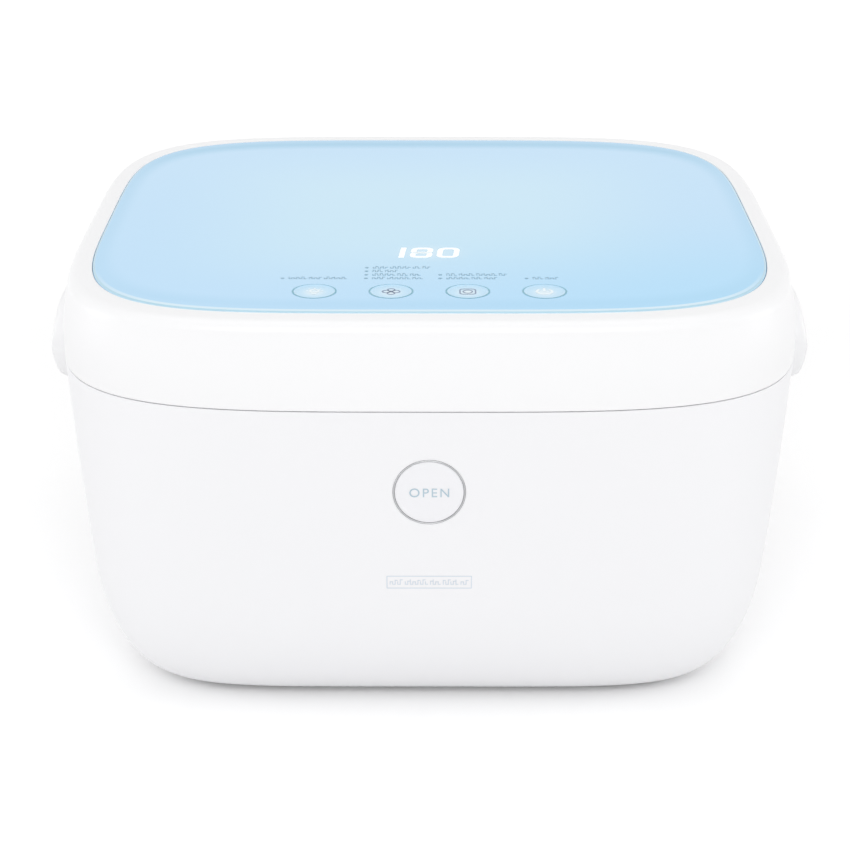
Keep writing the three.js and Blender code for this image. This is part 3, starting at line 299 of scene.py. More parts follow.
def glass_print_and_painted_light():
    """Tempered glass with a pale blue print on its back, the blue a little deeper toward the edges.
    Over it go painted shade in a patch toward the front right and along the rear edge, a painted
    highlight along the front edge, a painted shade line all round and a painted glow round the lit
    digits."""
    material, tree, shader = new_material("back_print_painted_light_glass", PANEL_MIDDLE, 0.12, IOR=1.5,
                                          Coat_Weight=0.5, Coat_Roughness=0.04)

    def from_middle(wide, deep):
        """X and Y of a point as shares of these half sizes."""
        offset = seen_from(tree, (0, 0), wide, deep)
        return add(tree, "SeparateXYZ", None, Vector=offset).outputs

    def outside(side_border, end_border, low, high, within=0, beyond=1):
        """One value within the glass outline drawn in by the borders, another beyond it."""
        total = 0
        axes = from_middle(PANEL_WIDE - side_border, PANEL_DEEP - end_border)
        for axis in ("X", "Y"):
            share = axes[axis]
            for step, value in (("ABSOLUTE", 0), ("POWER", PANEL_SQUARE), ("ADD", total)):
                share = add(tree, "Math", {"operation": step}, _0=share, _1=value).outputs[0]
            total = share
        reach = add(tree, "Math", {"operation": "POWER"}, _0=total, _1=1 / PANEL_SQUARE)
        return add(tree, "MapRange", {"interpolation_type": "SMOOTHSTEP"}, Value=reach.outputs[0],
                   From_Min=low, From_Max=high, To_Min=within, To_Max=beyond).outputs["Result"]

    def along(low, high):
        """0 to 1 from one place to another along Y, as shares of the half depth."""
        return add(tree, "MapRange", None, Value=from_middle(PANEL_WIDE, PANEL_DEEP)["Y"],
                   From_Min=low, From_Max=high).outputs["Result"]

    colour = laid_over(tree, linear(PANEL_MIDDLE), linear(PANEL_OUTER), outside(*OUTER_BAND))
    # painted shade: a deeper patch toward the front right
    shade = near(tree, SHADE_PLACE, *SHADE_SIZE)
    colour = laid_over(tree, colour, linear(PANEL_SHADE), shade, SHADE_SHARE)
    # painted shade along the rear edge, weaker right at the rim
    edge = outside(*REAR_EDGE, within=1, beyond=1 - REAR_FADE)
    colour = laid_over(tree, colour, linear(GLASS_REAR_SHADE), outside(*REAR_BAND), along(*REAR_REACH),
                     edge)
    # painted highlight along the front edge
    colour = laid_over(tree, colour, linear(GLASS_FRONT_HIGHLIGHT), outside(*FRONT_BAND),
                     along(*FRONT_REACH))
    # painted shade line all round the edge of the glass
    colour = laid_over(tree, colour, linear(GLASS_EDGE_SHADE), outside(*EDGE_SHADE_INNER),
                     outside(*EDGE_SHADE_OUTER, within=1, beyond=0))
    # painted glow of the lit digits on the glass
    glow = near(tree, (0, -DIGIT_ROW), *GLOW_SIZE)
    colour = laid_over(tree, colour, linear(PANEL_LIT), glow, GLOW_SHARE)
    tree.links.new(colour, shader.inputs["Base Color"])
    return material


def key_floor():
    """The dished keys: the same print a little paler, palest in the middle where it is lit."""
    material, tree, shader = new_material("dished_key_glass", KEY_PALE, 0.14, IOR=1.5)
    roughen(tree, shader, grain(tree, 9), 0.12, 0.16)
    glow = 0
    for place in key_places():
        lit = near(tree, place, KEY_GLOW, KEY_GLOW)
        glow = add(tree, "Math", {"operation": "MAXIMUM"}, _0=glow, _1=lit).outputs[0]
    colour = laid_over(tree, linear(KEY_PALE), linear(PANEL_LIT), glow)
    tree.links.new(colour, shader.inputs["Base Color"])
    return material


def rolled_metal(name, colour, roughness, spread):
    """Rolled or polished sheet: faint long variation in its shine."""
    material, tree, shader = new_material(name, colour, roughness, 1.0)
    roughen(tree, shader, grain(tree, 14), roughness, roughness + spread)
    return material


def lamp_quartz():
    """Clear quartz sheet over the lamps, with a cool edge."""
    material, tree, shader = new_material("quartz_sheet", 0xEAF4F7, 0.04, IOR=1.46,
                                          Transmission_Weight=0.85)
    roughen(tree, shader, grain(tree, 20), 0.03, 0.08)
    return material


def solder_mask(name, colour):
    """Lacquered circuit board: tracks show as faint ridges under the mask."""
    material, tree, shader = new_material(name, colour, 0.35)
    place = add(tree, "TexCoord").outputs["Object"]
    tracks = add(tree, "TexVoronoi", {"distance": "MANHATTAN"}, Vector=place,
                 Scale=1 / (TRACK_PITCH * MM))
    dimple(tree, shader, tracks.outputs["Distance"], 0.3, 0.1)
    return material


def soft_rubber(name, colour):
    """Moulded rubber: dull, with a dusty grain of about 1 mm."""
    material, tree, shader = new_material(name, colour, 0.75)
    dimple(tree, shader, grain(tree, 1).outputs["Fac"], 0.25, 0.05)
    return material


def ink_and_painted_shade(name, colour, glow=0.0):
    """Screen-print ink, or a lit segment seen through the print when it glows; round a key's rim it
    is painted shade.
    """
    material, tree, shader = new_material(name, colour, 0.4)
    roughen(tree, shader, grain(tree, 1), 0.35, 0.5)
    if glow:
        shader.inputs["Emission Color"].default_value = linear(colour)
        shader.inputs["Emission Strength"].default_value = glow
    return material


PANEL_MIDDLE = 0xBBE5FB
PANEL_OUTER = 0xAFDDFD
# painted shade along the glass's rear edge
GLASS_REAR_SHADE = 0x80C5EA
# painted highlight along the glass's front edge
GLASS_FRONT_HIGHLIGHT = 0xD2EDFB
PANEL_SHADE = 0x92D8FD
# painted shade line all round the glass's edge
GLASS_EDGE_SHADE = 0xAED6E8
# painted glow round the lit digits and in the middle of the keys
PANEL_LIT = 0xE4F4FC
KEY_PALE = 0xC1E6FD

# Bands of colour on the glass: borders at its sides and ends in millimetres, then the shares of the
# outline between which the band fades in. A REACH is where it fades in from front to rear.
# The outer band deepens the blue toward the edges; the rear band is painted shade, the front band a
# painted highlight, the line a painted shade line round the edge, the shade a painted shade patch
# and the glow painted light from the digits.
OUTER_BAND = (20, 20, 0.3, 1.05)
REAR_BAND = (4, 15, 0.955, 1.045)
REAR_EDGE = (1, 4, 0.96, 1.03)
REAR_REACH = (-1.5, 0.7)
REAR_FADE = 0.6
FRONT_BAND = (2, 3.4, 0.995, 1.003)
FRONT_REACH = (-0.6, -0.9)
EDGE_SHADE_INNER = (1.1, 1.1, 0.999, 1.001)
EDGE_SHADE_OUTER = (0.3, 0.3, 0.999, 1.001)
# painted shade patch toward the front right: its middle, half sizes and strength
SHADE_PLACE = (130, -130)
SHADE_SIZE = (210, 150)
SHADE_SHARE = 0.6
GLOW_SIZE = (22, 15)
GLOW_SHARE = 0.4
KEY_GLOW = 0.8 * KEY_RADIUS

TRACK_PITCH = 4

WHITE = moulded_abs("white_moulded_abs", 0xF8F8F9, 0.3, 0.36)
BODY_WHITE = moulded_abs("white_body_abs", 0xF5F5F7, 0.32, 0.38)
BUTTON_WHITE = moulded_abs("white_button_abs", 0xF3F3F6, 0.3, 0.36)
GLASS = glass_print_and_painted_light()
MIRROR = rolled_metal("mirror_stainless_sheet", 0xE2E4E6, 0.06, 0.06)
STEEL = rolled_metal("drawn_steel", 0xC4C7CA, 0.22, 0.1)
PLATED = rolled_metal("satin_plated_ring", 0xB8B9BB, 0.28, 0.06)
SILICONE = soft_rubber("white_silicone", 0xE4E7EA)
LIT = ink_and_painted_shade("lit_white_segments", 0xF8FDFF, 0.12)
PRINT_WHITE = ink_and_painted_shade("lit_key_print", 0xEEF9FE)
PRINT_GREY = ink_and_painted_shade("grey_key_print", 0x8090AC)
WORD_BLUE = ink_and_painted_shade("grey_blue_word", 0xB5CBD7)
LABEL_BLUE = ink_and_painted_shade("pale_label_print", 0xD9E1EA)
# painted shade round the rims of the dished keys
KEY_RIM_SHADE = ink_and_painted_shade("key_rim_painted_shade", 0x7DB4C6)
KEY_FLOOR = key_floor()
GLASS_SIDE = moulded_abs("ground_glass_side", 0xCCE8F2, 0.3, 0.4)
CAPTION = ink_and_painted_shade("caption_print", 0x8DB3C8)

NODE_FINISH = {
    "white_plastic": WHITE,
    "white_button": BUTTON_WHITE,
    "blue_glass": GLASS,
    "bright_metal": MIRROR,
    "steel": STEEL,
    "ring_metal": PLATED,
    "grey_rubber": soft_rubber("grey_rubber", 0x8A8D90),
    "silicone": SILICONE,
    "quartz": lamp_quartz(),
    "board_green": solder_mask("green_solder_mask", 0x1F6B45),
    "board_white": solder_mask("white_solder_mask", 0xE9ECEA),
    "black_plastic": moulded_matt("black_moulded_pp", 0x232528, 0.5),
    "grey_plastic": moulded_matt("grey_moulded_pom", 0xB4B8BB, 0.45),
    "aluminium": rolled_metal("mill_aluminium", 0xCDD0D2, 0.35, 0.1),
    "magnet_nickel": PLATED,
}


def dress_nodes():
    """Every carried node gets its finish, welded and smoothed up to its real edges."""
    slots = {s["node"]: s["material_slot"] for s in frame["record"]["subparts"]}
    for name, node in frame["nodes"].items():
        node.data.materials.clear()
        node.data.materials.append(NODE_FINISH[slots[name]])
        node.data.polygons.foreach_set("use_smooth", [True] * len(node.data.polygons))
        weld = node.modifiers.new("weld", "WELD")
        weld.merge_threshold = 0.01 * MM
        split = node.modifiers.new("edges", "EDGE_SPLIT")
        split.split_angle = radians(32)


dress_nodes()


# modelling tools

# Points round the large shells and round the chamber's cup.
SHELL_COUNT = 208
CUP_COUNT = 192
LEAST_ROUND = 0.05


def loft(rings, count, joined=False):
    """A skin over closed rings. Each ring gives a point for a turn from 0 to 1."""
    bm = bmesh.new()
    bmesh.ops.create_circle(bm, cap_ends=False, segments=count, radius=1)
    turn = bm.verts.layers.float.new("turn")
    for vert in bm.verts:
        vert[turn] = atan2(vert.co.y, vert.co.x) / TURN % 1
        vert.co = rings[0](vert[turn])
    first = edges = bm.edges[:]
    for ring in rings[1:]:
        grown = bmesh.ops.extrude_edge_only(bm, edges=edges)["geom"]
        fresh = {g for g in grown if isinstance(g, bmesh.types.BMVert)}
        for vert in fresh:
            vert.co = ring(vert[turn])
        edges = [g for g in grown
                 if isinstance(g, bmesh.types.BMEdge) and fresh.issuperset(g.verts)]
    if joined:
        bmesh.ops.bridge_loops(bm, edges=first + edges)
    else:
        bmesh.ops.holes_fill(bm, edges=bm.edges, sides=0)
    bmesh.ops.recalc_face_normals(bm, faces=bm.faces)
    return bm


def outline(wide, deep, square, high, slope=0.0, back=0.0):
    """A ring on a rounded rectangle of this squareness, level or sloping in Y. Its points crowd
    at the corners."""
    def point(turn):
        angle = turn * TURN
        angle += CORNER_CROWD * sin(4 * angle) / 4
        x, y = cos(angle), sin(angle)
        reach = (abs(x / wide) ** square + abs(y / deep) ** square) ** (-1 / square)
        return Vector((reach * x, reach * y - back, high + reach * y * slope))
    return point


def round_ring(radius, high):
    """A level circle about Z."""
    def point(turn):
        return Vector((radius * cos(turn * TURN), radius * sin(turn * TURN), high))
    return point


def turned(profile, joined=False, count=96):
    """A solid turned about Z from pairs of radius and height."""
    return loft([round_ring(r, z) for r, z in profile], count, joined)


def quarter(steps):
    """The angles of a quarter turn in equal steps."""
    return [i / steps * TURN / 4 for i in range(steps + 1)]


def box(size, centre):
    """A block of this size about its centre."""
    bm = bmesh.new()
    bmesh.ops.create_cube(bm, size=1, matrix=Matrix.Translation(centre) @ Matrix.Diagonal(
        (*size, 1)))
    return bm


def soften(bm, width, segments=3, angle=40):
    """Rounds the sharp edges."""
    edges = [e for e in bm.edges if e.is_manifold and e.calc_face_angle(0) > radians(angle)]
    bmesh.ops.bevel(bm, geom=edges, offset=width, segments=segments, profile=0.5, material=-1,
                    affect="EDGES")
    return bm


def scratch(bm):
    """A passing object that holds the shape for a modifier."""
    mesh = bpy.data.meshes.new("scratch")
    bm.to_mesh(mesh)
    bm.free()
    holder = bpy.data.objects.new("scratch", mesh)
    bpy.context.collection.objects.link(holder)
    return holder


def carve(solid, *tools):
    """The solid with the tools cut out of it; all are triangles first, which are truly flat."""
    holders = []
    for shape in (solid, merge(*tools)):
        bmesh.ops.triangulate(shape, faces=shape.faces)
        holders.append(scratch(shape))
    cut = holders[0].modifiers.new("cut", "BOOLEAN")
    cut.operation = "DIFFERENCE"
    cut.solver = "EXACT"
    cut.object = holders[1]
    result = bmesh.new()
    result.from_object(holders[0], bpy.context.evaluated_depsgraph_get())
    for holder in holders:
        mesh = holder.data
        bpy.data.objects.remove(holder)
        bpy.data.meshes.remove(mesh)
    return result


def turn_bm(bm, angle, axis):
    """Turns a shape about an axis through the origin."""
    bmesh.ops.rotate(bm, verts=bm.verts, cent=(0, 0, 0), matrix=Matrix.Rotation(angle, 3, axis))
    return bm


def move_bm(bm, offset):
    """Moves a shape."""
    bmesh.ops.translate(bm, verts=bm.verts, vec=offset)
    return bm


def merge(*meshes):
    """Several shapes as one mesh."""
    whole = bmesh.new()
    for bm in meshes:
        mesh = bpy.data.meshes.new("scratch")
        bm.to_mesh(mesh)
        bm.free()
        whole.from_mesh(mesh)
        bpy.data.meshes.remove(mesh)
    return whole


def piece(name, bm, body, material, nodes=(), sharp=35):
    """Places a shape in the frame, finishes it and lets it ride on its body."""
    place = Matrix.Scale(MM, 4) @ Matrix.Translation((0, -CENTRE_SHIFT, 0))
    bmesh.ops.transform(bm, matrix=place, verts=bm.verts)
    mesh = bpy.data.meshes.new(name)
    bm.to_mesh(mesh)
    bm.free()
    for finish in material if isinstance(material, tuple) else (material,):
        mesh.materials.append(finish)
    mesh.shade_smooth()
    mesh.set_sharp_from_angle(angle=radians(sharp))
    obj = bpy.data.objects.new(name, mesh)
    bpy.context.collection.objects.link(obj)
    even = obj.modifiers.new("even_shading", "WEIGHTED_NORMAL")
    even.keep_sharp = True
    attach(obj, body)
    if nodes:
        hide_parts(*nodes)
    return obj


def node_corners(name):
    """The low and high corners of a CAD node in millimetres."""
    return [Vector(corner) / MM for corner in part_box(name)]


def node_middle(name):
    """The middle of a CAD node in millimetres."""
    low, high = node_corners(name)
    return (low + high) / 2


# outer body

# Depths of the rings inside the wall, and how many walls each is lifted round the bottom.
INNER_RINGS = ((0, 0), (10, 0), (40, 0), (80, 0), (100, 0), (120, 0.5), (140, 1))
VENT_ROUND = 1.1
ROOT_ROUND = 1


def body_inset(depth):
    """How far the body's side stands in from the seam, at a depth under it."""
    share = max(0, (depth - BODY_HIGH + ROUND_HIGH) / ROUND_HIGH)
    sweep = ROUND_REACH * (1 - sqrt(max(0, 1 - share ** 2)))
    return DRAFT * depth + depth ** 2 / BOW_LENGTH + sweep


def body_square(depth):
    """The squareness of the body's outline, which grows toward the bottom."""
    return SEAM_SQUARE + (BOTTOM_SQUARE - SEAM_SQUARE) * depth / BODY_HIGH


def body_deep(side, high):
    """How far the body's surface stands behind or before the middle."""
    depth = SEAM - high
    square = body_square(depth)
    share = abs(side) / (SEAM_WIDE - body_inset(depth))
    return (SEAM_DEEP - body_inset(depth)) * (1 - share ** square) ** (1 / square)


BUTTON_UP = SEAM - BUTTON_DROP
BUTTON_LEAN = atan(DRAFT + 2 * BUTTON_DROP / BOW_LENGTH)
BUTTON_FACE = body_deep(0, BUTTON_UP)


def at_button(bm):
    """From a shape along Z to one that runs inward at the button."""
    turn_bm(bm, BUTTON_LEAN - TURN / 4, "X")
    return move_bm(bm, (0, -BUTTON_FACE, BUTTON_UP))


def body_ring(inset, depth):
    """A level ring of the body, drawn in from the seam's size."""
    return outline(SEAM_WIDE - inset, SEAM_DEEP - inset, body_square(depth), SEAM - depth)


def make_body():
    """The one-piece bowl: straight drafted sides into a deep round at the bottom."""
    depths = [BODY_HIGH * sin(a) for a in quarter(44)]
    outer = [(body_inset(d), d) for d in depths if d > LIP_ROUND]
    lip = [(LIP_ROUND * (1 - sin(a)), LIP_ROUND * (1 - cos(a))) for a in quarter(4)]
    inner = [(WALL + body_inset(d), d - lift * WALL) for d, lift in INNER_RINGS]
    section = [*reversed(outer), *reversed(lip), *inner, (outer[-1][0], BODY_HIGH - WALL)]
    bm = loft([body_ring(inset, depth) for inset, depth in section], SHELL_COUNT, joined=True)
    bore = RING_RADIUS + RING_GAP
    hole = at_button(turned([(bore, -3 * WALL), (bore, 3 * WALL)]))
    jack = node_middle("power_jack")
    jack_hole = turned([(JACK_RADIUS + GAP, -2 * WALL), (JACK_RADIUS + GAP, 4 * WALL)], count=48)
    turn_bm(jack_hole, -TURN / 4, "X")
    move_bm(jack_hole, (jack.x, body_deep(jack.x, jack.z), jack.z))
    fan = node_middle("blower_impeller")
    vents = [soften(box((VENT_WIDE, 8 * WALL, VENT_HIGH),
                        (fan.x + i * SLOT_PITCH, body_deep(fan.x, fan.z), fan.z)), VENT_ROUND)
             for i in range(-3, 4)]
    bm = carve(bm, hole, jack_hole, *vents)
    piece("body_bowl", bm, "base", BODY_WHITE, ["outer_body"], sharp=40)
    for side in SIDES:
        piece(f"body_hinge_lug_{SIDE_NAMES[side]}",
              hinge_eye(side * (LUG_INNER + LUG_WIDE / 2), LUG_WIDE, SEAM - HINGE_ROOT, SEAM),
              "base", BODY_WHITE)


def hinge_eye(x, width, low, high):
    """A hinge eye with a root that runs into the wall in front of it."""
    eye = turned([(HINGE_RADIUS, -width / 2 + GAP), (HINGE_RADIUS, width / 2 - GAP),
                  (HINGE_RADIUS - GAP, width / 2), (PIN_RADIUS + GAP, width / 2),
                  (PIN_RADIUS + GAP, -width / 2), (HINGE_RADIUS - GAP, -width / 2)], joined=True,
                 count=64)
    turn_bm(eye, TURN / 4, "Y")
    move_bm(eye, (x, HINGE_DEEP, SEAM))
    deep = HINGE_DEEP - SEAM_DEEP - PIN_RADIUS - GAP + WALL / 2
    front = SEAM_DEEP - WALL / 2
    root = box((width, deep, high - low), (x, front + deep / 2, (low + high) / 2))
    return merge(eye, soften(root, ROOT_ROUND))


# lid

SIDE_STEPS = 20
# The ledge's drops are counted from the under side of the glass.
LEDGE_TOP = 1
LEDGE_LOW = 3
LEDGE_ROOT = 2
LIP_HIGH = 2


def lid_sections():
    """Side, rounded rim and the step down to the glass, then back inside."""
    side_high = RIM_TOP - RIM_ROUND
    wide_change = PANEL_WIDE + RIM_SIDE - SEAM_WIDE
    deep_change = PANEL_DEEP + RIM_END - SEAM_DEEP
    rows = []
    for i in range(SIDE_STEPS + 1):
        share = i / SIDE_STEPS
        bulge = LID_BULGE * sin(share * pi)
        rows.append((SEAM_WIDE + wide_change * share + bulge, SEAM_DEEP + deep_change * share
                     + bulge, SEAM_SQUARE + (PANEL_SQUARE - SEAM_SQUARE) * share,
                     SEAM_GAP + (side_high - SEAM_GAP) * share, TILT * share))
    foot = [(rows[0][0] - LIP_ROUND * (1 - sin(a)), rows[0][1] - LIP_ROUND * (1 - sin(a)),
             SEAM_SQUARE, SEAM_GAP + LIP_ROUND * (1 - cos(a)), 0.0)
            for a in quarter(4)[:-1]]
    rows = foot + [(w, d, s, max(z, SEAM_GAP + LIP_ROUND), t) for w, d, s, z, t in rows]
    wide, deep = PANEL_WIDE + RIM_SIDE, PANEL_DEEP + RIM_END
    for a in quarter(12)[1:]:
        inward = RIM_ROUND * (1 - cos(a))
        rows.append((wide - inward, deep - inward, PANEL_SQUARE, side_high + RIM_ROUND * sin(a),
                     TILT))
    for inward, drop in ((RIM_LIP, 0), (RIM_LIP / 3, RIM_LIP / 3), (0, RIM_LIP), (0, PANEL_THICK)):
        rows.append((PANEL_WIDE + GLASS_GAP + inward, PANEL_DEEP + GLASS_GAP + inward,
                     PANEL_SQUARE, RIM_TOP - drop, TILT))
    ledge = RIM_TOP - PANEL_THICK
    for grow, drop in ((-LEDGE_WIDE, LEDGE_TOP), (-LEDGE_WIDE, LEDGE_LOW),
                       (LEDGE_ROOT, LEDGE_LOW)):
        rows.append((PANEL_WIDE + grow, PANEL_DEEP + grow, PANEL_SQUARE, ledge - drop, TILT))
    for up in (LIP_HIGH, 0):
        rows.append((SEAM_WIDE - WALL, SEAM_DEEP - WALL, SEAM_SQUARE, SEAM_GAP + up, 0.0))
    return rows


def make_lid():
    """The lid's shell and the two hinge eyes inside those of the body."""
    rings = [outline(w, d, s, SEAM + z, t) for w, d, s, z, t in lid_sections()]
    piece("lid_cover", loft(rings, SHELL_COUNT, joined=True), "lid", WHITE,
          ["lid_shell"], sharp=50)
    for side in SIDES:
        width = LUG_INNER - KNUCKLE_INNER - GAP
        eye = hinge_eye(side * (LUG_INNER + KNUCKLE_INNER) / 2, width, SEAM + SEAM_GAP,
                        SEAM + SEAM_GAP + HINGE_ROOT)
        piece(f"lid_hinge_eye_{SIDE_NAMES[side]}", eye, "lid", WHITE)


def on_panel(bm, lift=0.0):
    """From flat on Z = 0 to the tilted top of the glass."""
    move_bm(bm, (0, 0, lift))
    turn_bm(bm, radians(PANEL_TILT), "X")
    return move_bm(bm, (0, 0, SEAM + PANEL_HIGH))


def open_top(bm):
    """Takes off the cap that closes a shape on top."""
    cap = max(bm.faces, key=lambda face: (face.calc_center_median().z, face.calc_area()))
    bmesh.ops.delete(bm, geom=[cap], context="FACES_ONLY")
    return bm


DISH_SLOT = 1
SIDE_SLOT = 2


def make_glass():
    """A plate with softened edges and four shallow dished keys, its top filled in round them."""
    edge = [(PANEL_EDGE * (1 - sin(a)), PANEL_EDGE * (cos(a) - 1)) for a in reversed(quarter(4))]
    rows = [(PANEL_UNDER, -PANEL_THICK), (0, PANEL_UNDER - PANEL_THICK), *edge,
            (2 * PANEL_EDGE, 0)]
    rings = [outline(PANEL_WIDE - i, PANEL_DEEP - i, PANEL_SQUARE, z) for i, z in rows]
    dish = [(KEY_RADIUS - KEY_SLOPE, -KEY_DEPTH), (KEY_RADIUS - KEY_SLOPE / 4, -KEY_DEPTH / 4),
            (KEY_RADIUS, 0), (KEY_RADIUS + KEY_SLOPE / 2, 0)]
    dishes = [move_bm(open_top(turned(dish, count=64)), (x, y, 0)) for x, y in key_places()]
    glass = merge(open_top(loft(rings, SHELL_COUNT)), *dishes)
    rims = [e for e in glass.edges if e.is_boundary]
    bmesh.ops.triangle_fill(glass, edges=rims, use_beauty=True, use_dissolve=False)
    bmesh.ops.recalc_face_normals(glass, faces=glass.faces)
    for face in glass.faces:
        middle = face.calc_center_median()
        if middle.z < -PANEL_EDGE:
            face.material_index = SIDE_SLOT
        elif middle.z < -KEY_DEPTH / 20 and any(
                hypot(middle.x - x, middle.y - y) < KEY_RADIUS for x, y in key_places()):
            face.material_index = DISH_SLOT
    piece("glass_top", on_panel(glass), "lid", (GLASS, KEY_FLOOR, GLASS_SIDE),
          ["glass_panel"], sharp=25)


# prints, painted shade round the keys and lit digits: thin raised films


def film(bm):
    """Gives a flat face set its thickness."""
    grown = bmesh.ops.extrude_face_region(bm, geom=bm.faces[:])["geom"]
    verts = [g for g in grown if isinstance(g, bmesh.types.BMVert)]
    bmesh.ops.translate(bm, verts=verts, vec=(0, 0, PRINT_THICK))
    bmesh.ops.recalc_face_normals(bm, faces=bm.faces)
    return bm


def flat_ring(outer, inner, count=64, start=0.0, share=1.0):
    """A flat annulus, or a part of one."""
    bm = bmesh.new()
    ends = [bm.verts.new((r, 0, 0)) for r in (inner, outer)]
    edge = bm.edges.new(ends)
    bmesh.ops.spin(bm, geom=[*ends, edge], cent=(0, 0, 0), axis=(0, 0, 1), angle=TURN * share,
                   steps=count, use_merge=share == 1.0, use_duplicate=False)
    bmesh.ops.remove_doubles(bm, verts=bm.verts, dist=1e-4)
    return film(turn_bm(bm, start, "Z"))


def hollow(bm):
    """Takes off the caps that close a flat ring."""
    caps = [face for face in bm.faces if len(face.verts) > 4]
    bmesh.ops.delete(bm, geom=caps, context="FACES_ONLY")
    return bm


def rounded_loop(wide, deep, corner, line, centre=(0, 0)):
    """A flat frame of line width inside a rounded rectangle."""
    count = 64

    def ring(inset):
        half_wide, half_deep = wide / 2 - inset, deep / 2 - inset
        radius = max(corner - inset, LEAST_ROUND)

        def point(turn):
            angle = (turn + 0.5 / count) * TURN
            x = (half_wide - radius) * (1 if cos(angle) > 0 else -1)
            y = (half_deep - radius) * (1 if sin(angle) > 0 else -1)
            return Vector((centre[0] + x + radius * cos(angle), centre[1] + y + radius * sin(angle),
                           0))
        return point
    return film(hollow(loft([ring(0), ring(line)], count)))


def bar(wide, deep, x, y):
    """A flat bar."""
    bm = bmesh.new()
    bmesh.ops.create_grid(bm, x_segments=1, y_segments=1, size=0.5,
                          matrix=Matrix.Diagonal((wide, deep, 1, 1)))
    return film(move_bm(bm, (x, y, 0)))


def dot(radius, x, y, count=32):
    """A flat round dot."""
    bm = bmesh.new()
    bmesh.ops.create_circle(bm, cap_ends=True, segments=count, radius=radius)
    return film(move_bm(bm, (x, y, 0)))


LOOP_ROUND = 3.4
ZERO_ROUND = 3.8


def make_digits():
    """Three lit digits of the timer, seen through the glass."""
    one_x, eight_x, zero_x = DIGIT_PLACES
    half = DIGIT_HIGH / 2
    one = bar(DIGIT_LINE, DIGIT_HIGH, one_x, 0)
    eight = [rounded_loop(DIGIT_WIDE, half + DIGIT_LINE / 2, LOOP_ROUND, DIGIT_LINE,
                          (eight_x, side * (half - DIGIT_LINE / 2) / 2)) for side in SIDES]
    zero = rounded_loop(DIGIT_WIDE, DIGIT_HIGH, ZERO_ROUND, DIGIT_LINE, (zero_x, 0))
    digits = merge(one, *eight, zero)
    for vert in digits.verts:
        vert.co.x += vert.co.y * DIGIT_LEAN
    move_bm(digits, (0, -DIGIT_ROW, 0))
    piece("lit_digits", on_panel(digits, PRINT_LIFT), "lid", LIT)


# Sizes of the icons: a RING is its outer and inner radius, a REACH a distance from the middle.
BULB_RING = (2.3, 1.4)
BULB_BACK = 0.6
RAY_SIZE = (0.7, 1.1)
RAY_REACH = 3.2
CAP_SIZE = (2.2, 1.3)
CAP_REACH = 2.8
PETAL_RING = (1.9, 1.25)
PETAL_REACH = 2.2
HUB_RADIUS = 0.7
DRUM_WIDE = 7.4
DRUM_ROUND = 1.8
DRUM_LINE = 0.6
DRUM_RING = (2.3, 1.7)
POWER_RING = (3.9, 2.7)
POWER_GAP = 2 / 9
POWER_BAR = (1.1, 3.8)
POWER_REACH = 2.6


def lamp_icon():
    """A bulb with its cap in front and five rays behind."""
    rays = [turn_bm(bar(*RAY_SIZE, 0, RAY_REACH), i * TURN / 8, "Z") for i in range(-2, 3)]
    bulb = move_bm(merge(flat_ring(*BULB_RING), *rays), (0, BULB_BACK, 0))
    return merge(bulb, bar(*CAP_SIZE, 0, -CAP_REACH))


def fan_icon():
    """Four petals round a hub."""
    petals = [turn_bm(move_bm(flat_ring(*PETAL_RING), (0, PETAL_REACH, 0)), i * TURN / 4, "Z")
              for i in range(4)]
    return merge(dot(HUB_RADIUS, 0, 0), *petals)


def drum_icon():
    """A drying drum: a ring in a rounded frame."""
    return merge(rounded_loop(DRUM_WIDE, DRUM_WIDE, DRUM_ROUND, DRUM_LINE),
                 flat_ring(*DRUM_RING))


def power_icon():
    """The usual broken ring with a bar in its gap."""
    ring = flat_ring(*POWER_RING, start=TURN / 4 + TURN * POWER_GAP / 2, share=1 - POWER_GAP)
    return merge(ring, bar(*POWER_BAR, 0, POWER_REACH))


KEY_LINE = 0.8
ICON_BACK = 0.9


def make_keys():
    """Icons on the floors of the dishes and a fine line of painted shade round each dish."""
    icons = ((lamp_icon, PRINT_WHITE), (fan_icon, PRINT_GREY), (drum_icon, PRINT_GREY),
             (power_icon, PRINT_WHITE))
    for number, ((icon, ink), (x, y)) in enumerate(zip(icons, key_places()), 1):
        mark = move_bm(icon(), (x, y + ICON_BACK, 0))
        piece(f"key_icon_{number}", on_panel(mark, PRINT_LIFT - KEY_DEPTH), "lid", ink)
        # painted shade round the dish
        line = move_bm(crescent(), (x, y, 0))
        piece(f"key_rim_shade_{number}", on_panel(line, PRINT_LIFT), "lid", KEY_RIM_SHADE)


def crescent():
    """Painted shade round a key's dish: widest at the sides, finer in front and almost gone behind,
    as its outer edge is a little flat and lies forward of the inner one."""
    def edge(wide, deep, back):
        return lambda turn: Vector((wide * cos(turn * TURN), deep * sin(turn * TURN) + back, 0))
    inner = KEY_RADIUS + KEY_LINE * 0.05
    bm = loft([edge(KEY_RADIUS + KEY_LINE, KEY_RADIUS + KEY_LINE / 2, -KEY_LINE * 0.18),
               edge(inner, inner, KEY_LINE * 0.15)], 64)
    return film(hollow(bm))


STROKE_WIDE = 0.42
STROKE_PITCH = 1.12
WORD_STROKES = (7, 5, 9, 4, 6, 8, 3)
STROKE_RISES = (1, 0.62, 0.62, 0.9, 0.62, 1, 0.62, 0.75)


